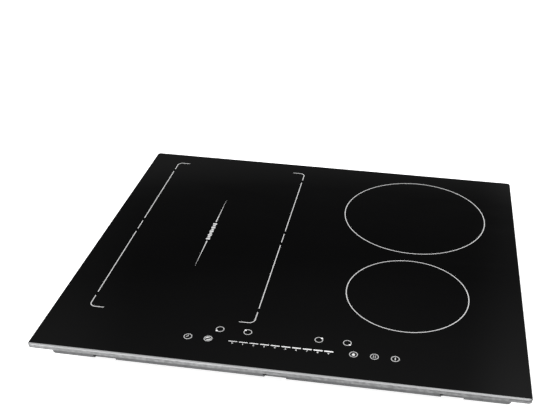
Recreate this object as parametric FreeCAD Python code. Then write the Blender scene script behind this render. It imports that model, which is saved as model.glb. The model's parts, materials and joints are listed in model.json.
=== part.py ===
"""Built-in induction cooktop: black glass top with a metal front trim, a shallow steel tray with a deeper
pan hung below it, four induction coils, cooling fans, power electronics, touch controls and fixing clamps.

Millimetres, +Z up, +Y towards the back. The origin is the centre of the outline of the top, at the height of
the underside of the pan, which is the lowest face.
"""
import FreeCAD, Part
import math
import os

V = FreeCAD.Vector
X_AXIS = V(1, 0, 0)
Y_AXIS = V(0, 1, 0)
Z_AXIS = V(0, 0, 1)

# ---------------------------------------------------------------- driving dimensions

# Top
GLASS_WIDTH = 590.0
GLASS_DEPTH = 516.4
GLASS_THICKNESS = 4.0
GLASS_BEVEL = 0.5
TOP_CORNER_RADIUS = 5.0
TRIM_DEPTH = 3.6
TRIM_HEIGHT = 4.6
TRIM_CHAMFER = 1.2
TRIM_LIP_DEPTH = 4.0
TOTAL_HEIGHT = 60.0

# Tray, right under the glass
SHEET = 1.0
SIDE_OVERHANG = 19.0
END_OVERHANG = 18.0
TRAY_DROP = 25.7
TRAY_CORNER_RADIUS = 6.0
TRAY_BEND_RADIUS = 1.2
TRAY_FLANGE = 11.0
TRAY_VENT_INSET = 60.0
TRAY_VENT_HEIGHT = 8.0
ADHESIVE_THICKNESS = 1.0
ADHESIVE_WIDTH = 8.0
SEAL_THICKNESS = 2.0
SEAL_WIDTH = 8.0
SEAL_GAP = 1.0

# Raised pads in the front edge of the tray's floor
PAD_WIDTH = 26.0
PAD_DEPTH = 32.0
PAD_RISE = 2.5
SIDE_PAD_X = 208.0
RELIEF_HOLE_RADIUS = 1.5

# Pan, below the tray
PAN_SIDE_STEP = 36.0
PAN_FRONT_STEP = 56.0
PAN_REAR_STEP = 36.0
PAN_CORNER_RADIUS = 9.0
PAN_BEND_RADIUS = 2.5
PAN_FLANGE = 8.0
BEAD_RISE = 1.5
BEAD_WIDTH = 12.0
BEAD_LENGTH = 150.0
BEAD_PITCH = 34.0
BEAD_COUNT = 3
BEAD_X = 150.0
BEAD_Y = -110.0
VENT_SLOT_WIDTH = 3.2
VENT_SLOT_HEIGHT = 13.0
VENT_SLOT_PITCH = 7.0
VENT_SLOT_COUNT = 12
GRILLE_MARGIN = 2.0
GRILLE_SLOT_WIDTH = 3.4
GRILLE_SLOT_PITCH = 6.6

# Case screws
CASE_SCREW_RADIUS = 1.9
CASE_SCREW_LENGTH = 3.6
CASE_SCREW_HEAD_RADIUS = 3.6
CASE_SCREW_HEAD_HEIGHT = 2.2
CASE_SCREW_COLUMNS = 4
CASE_SCREW_INSET = 14.0

# Fixing clamps
CLAMP_SCREW_RADIUS = 2.5
CLAMP_SCREW_HEAD_RADIUS = 4.6
CLAMP_SCREW_HEAD_HEIGHT = 3.6
CLAMP_SLEEVE_RADIUS = 4.2
CLAMP_STRIP = 2.0
CLAMP_WIDTH = 15.0
CLAMP_ARM_LENGTH = 40.0
CLAMP_TIP_HEIGHT = 11.0
CLAMP_RIB_GAP = 3.0
CLAMP_LEVEL = 8.0
CLAMP_SCREW_TAIL = 1.2
CLAMP_SIDE_INSET = 18.0
CLAMP_FRONT_INSET = 92.0
CLAMP_REAR_INSET = 82.0
RUNNING_CLEARANCE = 0.05
FACE_GAP = 0.15

# Terminal box on the back of the pan
BOX_LEFT_X = 60.0
BOX_WIDTH = 120.0
BOX_DEPTH = 32.0
BOX_BASE_LEVEL = 3.0
BOX_HEIGHT = 28.0
BOX_WALL = 1.6
COVER_GAP = 0.3
COVER_THICKNESS = 1.6
HINGE_PIN_RADIUS = 1.5
HINGE_BACKSET = 2.0
HINGE_DROP = 3.0
HINGE_SWING_RADIUS = 5.2
HINGE_LUG_RADIUS = 2.6
HINGE_LUG_WIDTH = 2.4
HINGE_PIN_ROOT = 1.0
COVER_SHOULDER_DROP = 4.0
COVER_CORNER_RADIUS = 2.0
COVER_TAB_WIDTH = 22.0
COVER_TAB_DEPTH = 1.8
COVER_TAB_HEIGHT = 2.4
COVER_TAB_LIFT = 1.0
COVER_RIB_OFFSETS = (-30.0, -18.0, 18.0, 30.0)
COVER_RIB_WIDTH = 1.6
COVER_RIB_DEPTH = 0.7
COVER_RIB_FOOT = 4.0
COVER_RIB_HEAD_GAP = 3.0
WIRE_WAY_RADIUS = 6.0
WIRE_WAY_INSET = 25.0
WIRE_WAY_DROP = 10.0
INLET_BORE_RADIUS = 7.0
INLET_RADIUS = 9.5
INLET_LENGTH = 12.0
INLET_HOLE_MARGIN = 0.5
INLET_LEVEL = 17.0
INLET_CHAMFER = 0.8
INLET_NUT_LENGTH = 4.0
INLET_NUT_LAP = 1.8
INLET_GRIP_COUNT = 12
INLET_GRIP_WIDTH = 1.8
INLET_GRIP_DEPTH = 0.8
TERMINAL_COUNT = 5
TERMINAL_PITCH = 10.0
TERMINAL_DEPTH = 16.0
TERMINAL_HEIGHT = 14.0
TERMINAL_END_MARGIN = 8.0
TERMINAL_WELL_RADIUS = 3.0
TERMINAL_WELL_DEPTH = 10.0
TERMINAL_WELL_LEVEL = 9.5
TERMINAL_MOUTH_WIDTH = 6.0
TERMINAL_MOUTH_DEPTH = 8.0
TERMINAL_MOUTH_LOW = 1.5
TERMINAL_MOUTH_HIGH = 5.0
TERMINAL_SAW_WIDTH = 0.8
TERMINAL_SAW_DEPTH = 9.0
TERMINAL_SAW_LEVEL = 6.0
TERMINAL_SCREW_RADIUS = 2.8
TERMINAL_SCREW_HEIGHT = 4.0
TERMINAL_SLOT_LENGTH = 4.8
TERMINAL_SLOT_WIDTH = 0.8
TERMINAL_SLOT_DEPTH = 1.0
EARTH_SCREW_RADIUS = 2.0
EARTH_SCREW_GAP = 14.0
EARTH_SCREW_HEAD_RADIUS = 3.6
EARTH_SCREW_HEAD_HEIGHT = 2.4

# Cooling fans
FAN_X = 62.0
FAN_Y = 150.0
FAN_SIZE = 88.0
FAN_HEIGHT = 24.0
FAN_WALL = 1.5
FAN_CORNER_RADIUS = 10.0
FAN_INLET_LAP = 5.0
FAN_OUTLET_INSET = 15.0
FAN_PIN_RADIUS = 1.5
FAN_PIN_LIFT = 4.0
FAN_BOSS_RADIUS = 6.0
FAN_BOSS_HEIGHT = 3.0
FAN_WASHER_THICKNESS = 0.6
FAN_WHEEL_END_GAP = 0.3
FAN_WHEEL_SIDE_GAP = 6.5
FAN_HUB_RADIUS = 14.0
FAN_HUB_FILLET = 1.5
FAN_RIM_THICKNESS = 1.2
FAN_RING_WIDTH = 3.0
FAN_BLADE_COUNT = 22
FAN_BLADE_THICKNESS = 1.2
FAN_BLADE_LENGTH = 13.0
FAN_BLADE_LEAN = 32.0
FAN_BLADE_INSET = 1.0
FAN_SCREW_INSET = 5.0
FAN_SCREW_RADIUS = 1.5
FAN_SCREW_HEAD_RADIUS = 3.0
FAN_SCREW_HEAD_HEIGHT = 2.0
FAN_SCREW_END_GAP = 2.0
FAN_POST_RADIUS = 4.5

# Power electronics
MODULE_GAP = 14.0
MODULE_MARGIN = 8.0
ETRAY_THICKNESS = 1.6
ETRAY_END_MARGIN = 4.0
ETRAY_RIM_DROP = 1.0
ETRAY_FOOT = 20.0
ETRAY_FOOT_INSET = 4.0
STANDOFF_HEIGHT = 5.0
STANDOFF_RADIUS = 3.5
BOARD_THICKNESS = 1.6
BOARD_WIDTH = 226.0
BOARD_EDGE_GAP = 2.0
BOARD_HOLE_INSET = 6.0
BOARD_FRONT_Y = -166.0
BOARD_BACK_Y = 96.0
SINK_WIDTH = 46.0
SINK_LENGTH = 150.0
SINK_HEIGHT = 22.0
SINK_FIN_COUNT = 9
SINK_FIN_THICKNESS = 1.4
SINK_BASE = 5.0
SINK_FRONT_Y = -72.0
DUCT_WALL = 1.2
DUCT_GAP = 1.5
DUCT_SIDE_GAP = 7.5
TRANSISTOR_COUNT = 4
TRANSISTOR_WIDTH = 16.0
TRANSISTOR_HEIGHT = 18.0
TRANSISTOR_THICKNESS = 5.0
TRANSISTOR_LIFT = 1.0
TRANSISTOR_END_MARGIN = 16.0
RECTIFIER_WIDTH = 28.0
CAPACITOR_COUNT = 4
CAPACITOR_NEAR = 150.0
CAPACITOR_LENGTH = 34.0
CAPACITOR_WIDTH = 16.0
CAPACITOR_HEIGHT = 24.0
CAPACITOR_CORNER_RADIUS = 1.5
CAPACITOR_FIRST_Y = -140.0
CAPACITOR_LAST_Y = 60.0
RELAY_NEAR = 112.0
RELAY_WIDTH = 18.0
RELAY_LENGTH = 28.0
RELAY_HEIGHT = 16.0
RELAY_CORNER_RADIUS = 1.0
RELAY_ROWS_Y = (-120.0, -60.0, 0.0)
BUFFER_CHOKE_NEAR = 30.0
BUFFER_CHOKE_Y = -125.0
BUFFER_CHOKE_RADIUS = 17.0
BUFFER_CHOKE_HOLE_RADIUS = 7.0
BUFFER_CHOKE_HEIGHT = 14.0
BUFFER_CHOKE_FILLET = 3.0
SIDE_BOARD_GAP = 6.0
SIDE_BOARD_MARGIN = 8.0
SIDE_BOARD_DEPTH = 80.0
TRANSFORMER_OFFSET = 20.0
TRANSFORMER_WIDTH = 30.0
TRANSFORMER_DEPTH = 28.0
TRANSFORMER_HEIGHT = 20.0
TRANSFORMER_CORNER_RADIUS = 2.0
CHOKE_OFFSET = 34.0
CHOKE_FOOT_WIDTH = 20.0
CHOKE_FOOT_DEPTH = 16.0
CHOKE_FOOT_HEIGHT = 4.0
CHOKE_RING_RADIUS = 8.2
CHOKE_WINDING_RADIUS = 4.4
SCREW_RADIUS = 1.5
SCREW_HEAD_RADIUS = 2.8
SCREW_HEAD_HEIGHT = 1.8

# Coils
ZONE_SIDE_INSET = 149.4
LARGE_ZONE_BACK_INSET = 135.4
RIGHT_ZONE_PITCH = 205.0
FLEX_ZONE_BACK_INSET = 232.5
FLEX_COIL_PITCH = 198.0
FLEX_COIL_RADIUS = 92.0
LARGE_COIL_RADIUS = 98.0
SMALL_COIL_RADIUS = 73.0
COIL_HOLE_RADIUS = 19.0
MICA_THICKNESS = 0.8
WINDING_THICKNESS = 4.0
WINDING_GAP = 1.0
FORMER_THICKNESS = 3.0
FORMER_RIM = 4.0
FORMER_RIM_HEIGHT = 1.5
FORMER_HUB_GAP = 0.5
FORMER_HUB_WALL = 2.0
FORMER_HOLE_RADIUS = 10.0
FERRITE_THICKNESS = 2.4
FERRITE_WIDTH = 13.0
FERRITE_COUNT = 8
FERRITE_INNER_GAP = 3.0
FERRITE_OUTER_GAP = 4.0
SPRING_COUNT = 4
SPRING_WIDTH = 8.0
SPRING_SPAN = 30.0
SPRING_STRIP = 0.6
SPRING_TOE = 1.2
SPRING_EDGE_GAP = 6.0
PLATE_THICKNESS = 1.2
PLATE_LIFT = 1.8
PLATE_GAP = 4.0
PLATE_MARGIN = 5.0
PLATE_FRONT_CLEARANCE = 9.0
PLATE_SCREW_INSET = 6.0
PLATE_SCREW_INNER_INSET = 12.0
PLATE_SCREW_ROWS_Y = (-120.0, 0.0, 120.0)
SENSOR_RADIUS = 5.0
SENSOR_FLANGE_LAP = 4.0
SENSOR_FLANGE_THICKNESS = 1.0
LEAD_RADIUS = 1.6
LEAD_HOLE_MARGIN = 1.0
LEAD_STANDOFF = 10.0
LEAD_PITCH = 8.0
LUG_LENGTH = 11.0
LUG_WIDTH = 16.0

# Touch controls
KEY_ROW_BACK_INSET = 66.0
KEY_ROW_FRONT_INSET = 46.0
ZONE_KEY_X = (-78.6, -43.4, 44.8, 80.0)
ACTION_KEY_X = (-113.2, -88.2, 89.3, 114.4, 139.2)
SLIDER_KEY_COUNT = 10
SLIDER_KEY_PITCH = 13.0
SLIDER_CENTRE_X = 0.9
TOUCH_BOARD_WIDTH = 290.0
TOUCH_BOARD_DEPTH = 44.0
TOUCH_BOARD_CENTRE_X = 13.0
TOUCH_BOARD_DROP = 7.0
TOUCH_SPRING_RADIUS = 3.6
TOUCH_SPRING_WALL = 0.6
CARRIER_WALL = 2.0
CARRIER_RIM = 3.0
CARRIER_SHELF = 4.0
CARRIER_LEG_WIDTH = 12.0
CARRIER_LEG_DEPTH = 10.0
CARRIER_LEG_INSET = 30.0
LIGHT_GUIDE_DEPTH = 4.0
LIGHT_GUIDE_GAP = 1.0
LIGHT_GUIDE_DROP = 0.5
LIGHT_GUIDE_CORNER_RADIUS = 1.0
RIBBON_WIDTH = 16.0
RIBBON_THICKNESS = 0.8
RIBBON_GAP = 0.5
RIBBON_LIFT = 6.0
RIBBON_OFFSET_X = 40.0
RIBBON_END_LAP = 6.0
RIBBON_BOARD_REACH = 14.0
PLUG_SIDE_LAP = 1.0
PLUG_DEPTH = 8.0
TOP_PLUG_DEPTH = 5.0

# ---------------------------------------------------------------- levels and edges worked out from them

TOP = TOTAL_HEIGHT
GLASS_UNDERSIDE = TOP - GLASS_THICKNESS
OVERALL_DEPTH = GLASS_DEPTH + TRIM_DEPTH
FRONT = -OVERALL_DEPTH / 2
BACK = OVERALL_DEPTH / 2
SIDE = GLASS_WIDTH / 2
GLASS_FRONT = FRONT + TRIM_DEPTH

TRAY_TOP = GLASS_UNDERSIDE - ADHESIVE_THICKNESS
TRAY_UNDERSIDE = TOP - TRAY_DROP
TRAY_FLOOR = TRAY_UNDERSIDE + SHEET
TRAY_SIDE = SIDE - SIDE_OVERHANG
TRAY_FRONT = FRONT + END_OVERHANG
TRAY_BACK = BACK - END_OVERHANG

PAN_SIDE = TRAY_SIDE - PAN_SIDE_STEP
PAN_FRONT = TRAY_FRONT + PAN_FRONT_STEP
PAN_BACK = TRAY_BACK - PAN_REAR_STEP
PAN_TOP = TRAY_UNDERSIDE

PAD_CENTRES_X = (-SIDE_PAD_X, 0.0, SIDE_PAD_X)
PAD_UNDERSIDE = TRAY_UNDERSIDE + PAD_RISE

CLAMP_X = TRAY_SIDE - CLAMP_SIDE_INSET
CLAMP_FRONT_Y = TRAY_FRONT + CLAMP_FRONT_INSET
CLAMP_REAR_Y = TRAY_BACK - CLAMP_REAR_INSET
CLAMP_PLACES = {
    "clamp_front_left": (-CLAMP_X, CLAMP_FRONT_Y, 90),
    "clamp_front_right": (CLAMP_X, CLAMP_FRONT_Y, 90),
    "clamp_rear_left": (-CLAMP_X, CLAMP_REAR_Y, -90),
    "clamp_rear_right": (CLAMP_X, CLAMP_REAR_Y, -90),
}

BOX_RIGHT_X = BOX_LEFT_X + BOX_WIDTH
BOX_MOUTH = PAN_BACK + BOX_DEPTH
BOX_TOP = BOX_BASE_LEVEL + BOX_HEIGHT
HINGE_Y = BOX_MOUTH - HINGE_BACKSET
HINGE_Z = BOX_TOP - HINGE_DROP
COVER_INNER = BOX_MOUTH + COVER_GAP

FAN_WHEEL_RADIUS = FAN_SIZE / 2 - FAN_WALL - FAN_WHEEL_SIDE_GAP
FAN_INLET_RADIUS = FAN_WHEEL_RADIUS - FAN_INLET_LAP
FAN_OUTLET_WIDTH = FAN_SIZE - 2 * FAN_OUTLET_INSET
FAN_PIN_LOW = SHEET + FAN_WALL + FAN_PIN_LIFT
FAN_BOSS_LOW = SHEET + FAN_HEIGHT - FAN_WALL - FAN_BOSS_HEIGHT
GRILLE_RADIUS = FAN_INLET_RADIUS + GRILLE_MARGIN

BOARD_UNDERSIDE = SHEET + BEAD_RISE + ETRAY_THICKNESS + STANDOFF_HEIGHT
BOARD_TOP = BOARD_UNDERSIDE + BOARD_THICKNESS
MODULE_SIDES = {"left": -1, "right": 1}

LEFT_ZONE_X = -SIDE + ZONE_SIDE_INSET
RIGHT_ZONE_X = SIDE - ZONE_SIDE_INSET
LARGE_ZONE_Y = BACK - LARGE_ZONE_BACK_INSET
SMALL_ZONE_Y = LARGE_ZONE_Y - RIGHT_ZONE_PITCH
FLEX_ZONE_Y = BACK - FLEX_ZONE_BACK_INSET
COILS = {
    "front_left": (LEFT_ZONE_X, FLEX_ZONE_Y - FLEX_COIL_PITCH / 2, FLEX_COIL_RADIUS),
    "rear_left": (LEFT_ZONE_X, FLEX_ZONE_Y + FLEX_COIL_PITCH / 2, FLEX_COIL_RADIUS),
    "front_right": (RIGHT_ZONE_X, SMALL_ZONE_Y, SMALL_COIL_RADIUS),
    "rear_right": (RIGHT_ZONE_X, LARGE_ZONE_Y, LARGE_COIL_RADIUS),
}
WINDING_TOP = GLASS_UNDERSIDE - MICA_THICKNESS
FORMER_TOP = WINDING_TOP - WINDING_THICKNESS
FORMER_UNDERSIDE = FORMER_TOP - FORMER_THICKNESS
PLATE_UNDERSIDE = TRAY_FLOOR + PLATE_LIFT
PLATE_TOP = PLATE_UNDERSIDE + PLATE_THICKNESS

KEY_ROW_BACK = FRONT + KEY_ROW_BACK_INSET
KEY_ROW_FRONT = FRONT + KEY_ROW_FRONT_INSET
TOUCH_BOARD_TOP = GLASS_UNDERSIDE - TOUCH_BOARD_DROP
TOUCH_BOARD_CENTRE_Y = (KEY_ROW_BACK + KEY_ROW_FRONT) / 2


# ---------------------------------------------------------------- shape helpers

def box(x0, x1, y0, y1, z0, z1):
    return Part.makeBox(x1 - x0, y1 - y0, z1 - z0, V(x0, y0, z0))


def cylinder(x, y, z0, z1, radius):
    return Part.makeCylinder(radius, z1 - z0, V(x, y, z0))


def cylinder_along_x(x0, x1, y, z, radius):
    return Part.makeCylinder(radius, x1 - x0, V(x0, y, z), X_AXIS)


def cylinder_along_y(x, y0, y1, z, radius):
    return Part.makeCylinder(radius, y1 - y0, V(x, y0, z), Y_AXIS)


def tube(x, y, z0, z1, outer, inner):
    return cylinder(x, y, z0, z1, outer).cut(cylinder(x, y, z0, z1, inner))


def upright_edges(shape):
    return [e for e in shape.Edges if e.BoundBox.XLength < 1e-3 and e.BoundBox.YLength < 1e-3]


def level_edges(shape, z):
    return [e for e in shape.Edges if abs(e.BoundBox.ZMin - z) < 1e-3 and abs(e.BoundBox.ZMax - z) < 1e-3]


def rounded_box(x0, x1, y0, y1, z0, z1, radius):
    block = box(x0, x1, y0, y1, z0, z1)
    return block.makeFillet(radius, upright_edges(block))


def slot_along_x(x, y, z0, z1, length, width):
    reach = (length - width) / 2
    bar = box(x - reach, x + reach, y - width / 2, y + width / 2, z0, z1)
    ends = [cylinder(x + side * reach, y, z0, z1, width / 2) for side in (-1, 1)]
    return bar.fuse(ends).removeSplitter()


def upright_wall_slot(x, y0, y1, z, height, width):
    reach = (height - width) / 2
    bar = box(x - width / 2, x + width / 2, y0, y1, z - reach, z + reach)
    ends = [cylinder_along_y(x, y0, y1, z + side * reach, width / 2) for side in (-1, 1)]
    return bar.fuse(ends).removeSplitter()


def fuse(parts):
    return parts[0].fuse(parts[1:]).removeSplitter()


def group(parts):
    return Part.makeCompound(parts)


def turned(shape, x, y, degrees):
    copy = shape.copy()
    copy.rotate(V(x, y, 0), Z_AXIS, degrees)
    return copy


def spread(first, last, count):
    return [first + (last - first) * i / (count - 1) for i in range(count)]


def screw(x, y, seat, length, radius, head_radius, head_height, down=False):
    """A pan-head screw: its head stands on the seat and its shank goes the other way, with a cross recess."""
    head = cylinder(x, y, seat, seat + head_height, head_radius)
    head = head.makeFillet(head_height * 0.4, level_edges(head, seat + head_height))
    reach = head_radius * 0.6
    width = head_radius * 0.2
    floor = seat + head_height * 0.45
    cross = box(x - reach, x + reach, y - width, y + width, floor, seat + head_height)
    recess = cross.fuse(turned(cross, x, y, 90))
    body = fuse([head.cut(recess), cylinder(x, y, seat - length, seat, radius)])
    if down:
        body.rotate(V(x, y, seat), X_AXIS, 180)
    return body


# ---------------------------------------------------------------- top

def top_outline():
    return rounded_box(-SIDE, SIDE, FRONT, BACK, TOP - TRIM_HEIGHT, TOP, TOP_CORNER_RADIUS)


def glass_panel():
    keep = box(-SIDE, SIDE, GLASS_FRONT, BACK, GLASS_UNDERSIDE, TOP)
    glass = top_outline().common(keep)
    rims = [e for e in level_edges(glass, TOP) if e.BoundBox.YMax > GLASS_FRONT + 1]
    return glass.makeChamfer(GLASS_BEVEL, rims)


def front_trim():
    outline = top_outline()
    front_rim = [e for e in level_edges(outline, TOP) if e.BoundBox.YMax < FRONT + TOP_CORNER_RADIUS + 1]
    outline = outline.makeChamfer(TRIM_CHAMFER, front_rim)
    bar = outline.common(box(-SIDE, SIDE, FRONT, GLASS_FRONT, TOP - TRIM_HEIGHT, TOP))
    lip = box(-SIDE, SIDE, GLASS_FRONT, GLASS_FRONT + TRIM_LIP_DEPTH, TOP - TRIM_HEIGHT, GLASS_UNDERSIDE)
    return fuse([bar, lip.common(top_outline())])


def glass_adhesive():
    inset = SHEET + 1
    outer = rounded_box(-TRAY_SIDE + inset, TRAY_SIDE - inset, TRAY_FRONT + inset, TRAY_BACK - inset,
                        TRAY_TOP, GLASS_UNDERSIDE, TRAY_CORNER_RADIUS)
    edge = inset + ADHESIVE_WIDTH
    inner = box(-TRAY_SIDE + edge, TRAY_SIDE - edge, TRAY_FRONT + edge, TRAY_BACK - edge,
                TRAY_TOP, GLASS_UNDERSIDE)
    return outer.cut(inner)


def worktop_seal():
    """Four strips of foam tape under the rim of the glass, round the outside of the tray."""
    z0 = GLASS_UNDERSIDE - SEAL_THICKNESS
    x_in = TRAY_SIDE + SEAL_GAP
    x_out = x_in + SEAL_WIDTH
    front_in = TRAY_FRONT - SEAL_GAP
    back_in = TRAY_BACK + SEAL_GAP
    strips = [box(side * x_in if side > 0 else -x_out, side * x_out if side > 0 else -x_in,
                  front_in, back_in, z0, GLASS_UNDERSIDE) for side in (-1, 1)]
    strips.append(box(-x_out, x_out, front_in - SEAL_WIDTH, front_in, z0, GLASS_UNDERSIDE))
    strips.append(box(-x_out, x_out, back_in, back_in + SEAL_WIDTH, z0, GLASS_UNDERSIDE))
    return group(strips)


# ---------------------------------------------------------------- sheet steel case

def pad_block(x, grow):
    half = PAD_WIDTH / 2 + grow
    return box(x - half, x + half, TRAY_FRONT - 1, TRAY_FRONT + PAD_DEPTH + grow,
               TRAY_UNDERSIDE - 1, PAD_UNDERSIDE + grow)


def relief_holes():
    """Small holes in the front wall where the sheet is pressed up, at the left end of each pad."""
    z = PAD_UNDERSIDE + SHEET + RELIEF_HOLE_RADIUS
    return [cylinder_along_y(x - PAD_WIDTH / 2 + RELIEF_HOLE_RADIUS, TRAY_FRONT, TRAY_FRONT + SHEET, z,
                             RELIEF_HOLE_RADIUS) for x in PAD_CENTRES_X]


def tray_screw_places():
    """Screws along the front and back flange of the pan."""
    front_y = PAN_FRONT - PAN_FLANGE / 2
    back_y = PAN_BACK + PAN_FLANGE / 2
    columns = spread(-PAN_SIDE + CASE_SCREW_INSET, PAN_SIDE - CASE_SCREW_INSET, CASE_SCREW_COLUMNS)
    return [(x, y) for y in (front_y, back_y) for x in columns]


def case_tray():
    outer = rounded_box(-TRAY_SIDE, TRAY_SIDE, TRAY_FRONT, TRAY_BACK, TRAY_UNDERSIDE, TRAY_TOP,
                        TRAY_CORNER_RADIUS)
    outer = outer.makeFillet(TRAY_BEND_RADIUS, level_edges(outer, TRAY_UNDERSIDE))
    inner = rounded_box(-TRAY_SIDE + SHEET, TRAY_SIDE - SHEET, TRAY_FRONT + SHEET, TRAY_BACK - SHEET,
                        TRAY_FLOOR, TRAY_TOP - SHEET, TRAY_CORNER_RADIUS - SHEET)
    inner = inner.makeFillet(TRAY_BEND_RADIUS - SHEET, level_edges(inner, TRAY_FLOOR))
    mouth = rounded_box(-TRAY_SIDE + TRAY_FLANGE, TRAY_SIDE - TRAY_FLANGE, TRAY_FRONT + TRAY_FLANGE,
                        TRAY_BACK - TRAY_FLANGE, TRAY_TOP - SHEET, TRAY_TOP, TRAY_CORNER_RADIUS)
    shell = outer.cut([pad_block(x, 0) for x in PAD_CENTRES_X])
    shell = shell.cut(inner.cut([pad_block(x, SHEET) for x in PAD_CENTRES_X]))
    openings = [mouth, rounded_box(-PAN_SIDE + SHEET, PAN_SIDE - SHEET, PAN_FRONT + SHEET, PAN_BACK - SHEET,
                                   TRAY_UNDERSIDE, TRAY_FLOOR, PAN_CORNER_RADIUS - SHEET)]
    openings += [cylinder(x, y, TRAY_UNDERSIDE, TRAY_FLOOR, CASE_SCREW_RADIUS)
                 for x, y in tray_screw_places()]
    openings += [cylinder(x, y, TRAY_UNDERSIDE, TRAY_FLOOR, CLAMP_SCREW_RADIUS)
                 for x, y, _ in CLAMP_PLACES.values()]
    openings += relief_holes()
    first = -TRAY_SIDE + TRAY_VENT_INSET
    openings += [upright_wall_slot(first + VENT_SLOT_PITCH * i, TRAY_BACK - SHEET, TRAY_BACK,
                                   (TRAY_FLOOR + TRAY_TOP) / 2, TRAY_VENT_HEIGHT, VENT_SLOT_WIDTH)
                 for i in range(VENT_SLOT_COUNT)]
    return shell.cut(openings)


def bead_block(x, y, grow):
    return slot_along_x(x, y, -1, BEAD_RISE + grow, BEAD_LENGTH + 2 * grow, BEAD_WIDTH + 2 * grow)


def bead_places():
    rows = [BEAD_Y + BEAD_PITCH * i for i in range(BEAD_COUNT)]
    return [(side * BEAD_X, y) for side in (-1, 1) for y in rows]


def grille_slots(x, y):
    """Straight slots, as many and as long as a round grille holds."""
    rows = int(GRILLE_RADIUS / GRILLE_SLOT_PITCH)
    slots = []
    for row in range(-rows, rows + 1):
        offset = row * GRILLE_SLOT_PITCH
        length = 2 * math.sqrt(GRILLE_RADIUS ** 2 - offset ** 2)
        if length > 3 * GRILLE_SLOT_WIDTH:
            slots.append(slot_along_x(x, y + offset, 0, SHEET, length, GRILLE_SLOT_WIDTH))
    return slots


def lower_pan():
    outer = rounded_box(-PAN_SIDE, PAN_SIDE, PAN_FRONT, PAN_BACK, 0, PAN_TOP, PAN_CORNER_RADIUS)
    outer = outer.makeFillet(PAN_BEND_RADIUS, level_edges(outer, 0))
    flange = rounded_box(-PAN_SIDE - PAN_FLANGE, PAN_SIDE + PAN_FLANGE, PAN_FRONT - PAN_FLANGE,
                         PAN_BACK + PAN_FLANGE, PAN_TOP - SHEET, PAN_TOP, PAN_CORNER_RADIUS)
    inner = rounded_box(-PAN_SIDE + SHEET, PAN_SIDE - SHEET, PAN_FRONT + SHEET, PAN_BACK - SHEET,
                        SHEET, PAN_TOP, PAN_CORNER_RADIUS - SHEET)
    inner = inner.makeFillet(PAN_BEND_RADIUS - SHEET, level_edges(inner, SHEET))
    shell = fuse([outer, flange]).cut([bead_block(x, y, 0) for x, y in bead_places()])
    shell = shell.cut(inner.cut([bead_block(x, y, SHEET) for x, y in bead_places()]))
    openings = []
    for side in MODULE_SIDES.values():
        openings += grille_slots(side * FAN_X, FAN_Y)
        first = side * FAN_X - VENT_SLOT_PITCH * (VENT_SLOT_COUNT - 1) / 2
        openings += [upright_wall_slot(first + VENT_SLOT_PITCH * i, PAN_FRONT, PAN_FRONT + SHEET,
                                       PAN_TOP / 2, VENT_SLOT_HEIGHT, VENT_SLOT_WIDTH)
                     for i in range(VENT_SLOT_COUNT)]
    openings += [cylinder(x, y, PAN_TOP - SHEET, PAN_TOP, CASE_SCREW_RADIUS) for x, y in tray_screw_places()]
    openings.append(cylinder_along_y(BOX_RIGHT_X - WIRE_WAY_INSET, PAN_BACK - SHEET, PAN_BACK,
                                     BOX_TOP - WIRE_WAY_DROP, WIRE_WAY_RADIUS))
    return shell.cut(openings)


def case_screws():
    seat = PAN_TOP - SHEET
    return group([screw(x, y, seat, CASE_SCREW_LENGTH, CASE_SCREW_RADIUS, CASE_SCREW_HEAD_RADIUS,
                        CASE_SCREW_HEAD_HEIGHT, down=True) for x, y in tray_screw_places()])


# ---------------------------------------------------------------- fixing clamps

def clamp(x, y, heading):
    """A bent strip on an upright screw. It lies along the case, and swings out under the worktop."""
    z0 = CLAMP_LEVEL
    z1 = CLAMP_LEVEL + CLAMP_STRIP
    half = CLAMP_WIDTH / 2
    eye = cylinder(0, 0, z0, z1, half)
    arm = box(0, CLAMP_ARM_LENGTH, -half, half, z0, z1)
    tip = box(CLAMP_ARM_LENGTH - CLAMP_STRIP, CLAMP_ARM_LENGTH, -half, half, z0, z0 + CLAMP_TIP_HEIGHT)
    strip = fuse([eye, arm, tip])
    bend = [e for e in strip.Edges if abs(e.BoundBox.XMin - CLAMP_ARM_LENGTH) < 1e-3
            and abs(e.BoundBox.ZMax - z0) < 1e-3]
    strip = strip.makeFillet(CLAMP_STRIP * 0.9, bend)
    rib = box(half + CLAMP_RIB_GAP, CLAMP_ARM_LENGTH - CLAMP_STRIP - CLAMP_RIB_GAP, -CLAMP_STRIP, CLAMP_STRIP,
              z1, z1 + CLAMP_STRIP / 2)
    hole = cylinder(0, 0, z0, z1, CLAMP_SCREW_RADIUS + RUNNING_CLEARANCE)
    strip = fuse([strip, rib]).cut(hole)
    strip.rotate(V(0, 0, 0), Z_AXIS, heading)
    strip.translate(V(x, y, 0))
    return strip


def clamp_screws():
    screws = []
    seat = CLAMP_LEVEL - FACE_GAP
    length = TRAY_FLOOR + CLAMP_SCREW_TAIL - seat
    for x, y, _ in CLAMP_PLACES.values():
        screws.append(screw(x, y, seat, length, CLAMP_SCREW_RADIUS, CLAMP_SCREW_HEAD_RADIUS,
                            CLAMP_SCREW_HEAD_HEIGHT, down=True))
    return group(screws)


def clamp_sleeves():
    """Tubes that hold each clamp down at its working level."""
    low = CLAMP_LEVEL + CLAMP_STRIP + FACE_GAP
    return group([tube(x, y, low, TRAY_UNDERSIDE, CLAMP_SLEEVE_RADIUS, CLAMP_SCREW_RADIUS)
                  for x, y, _ in CLAMP_PLACES.values()])


# ---------------------------------------------------------------- mains connection

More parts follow.
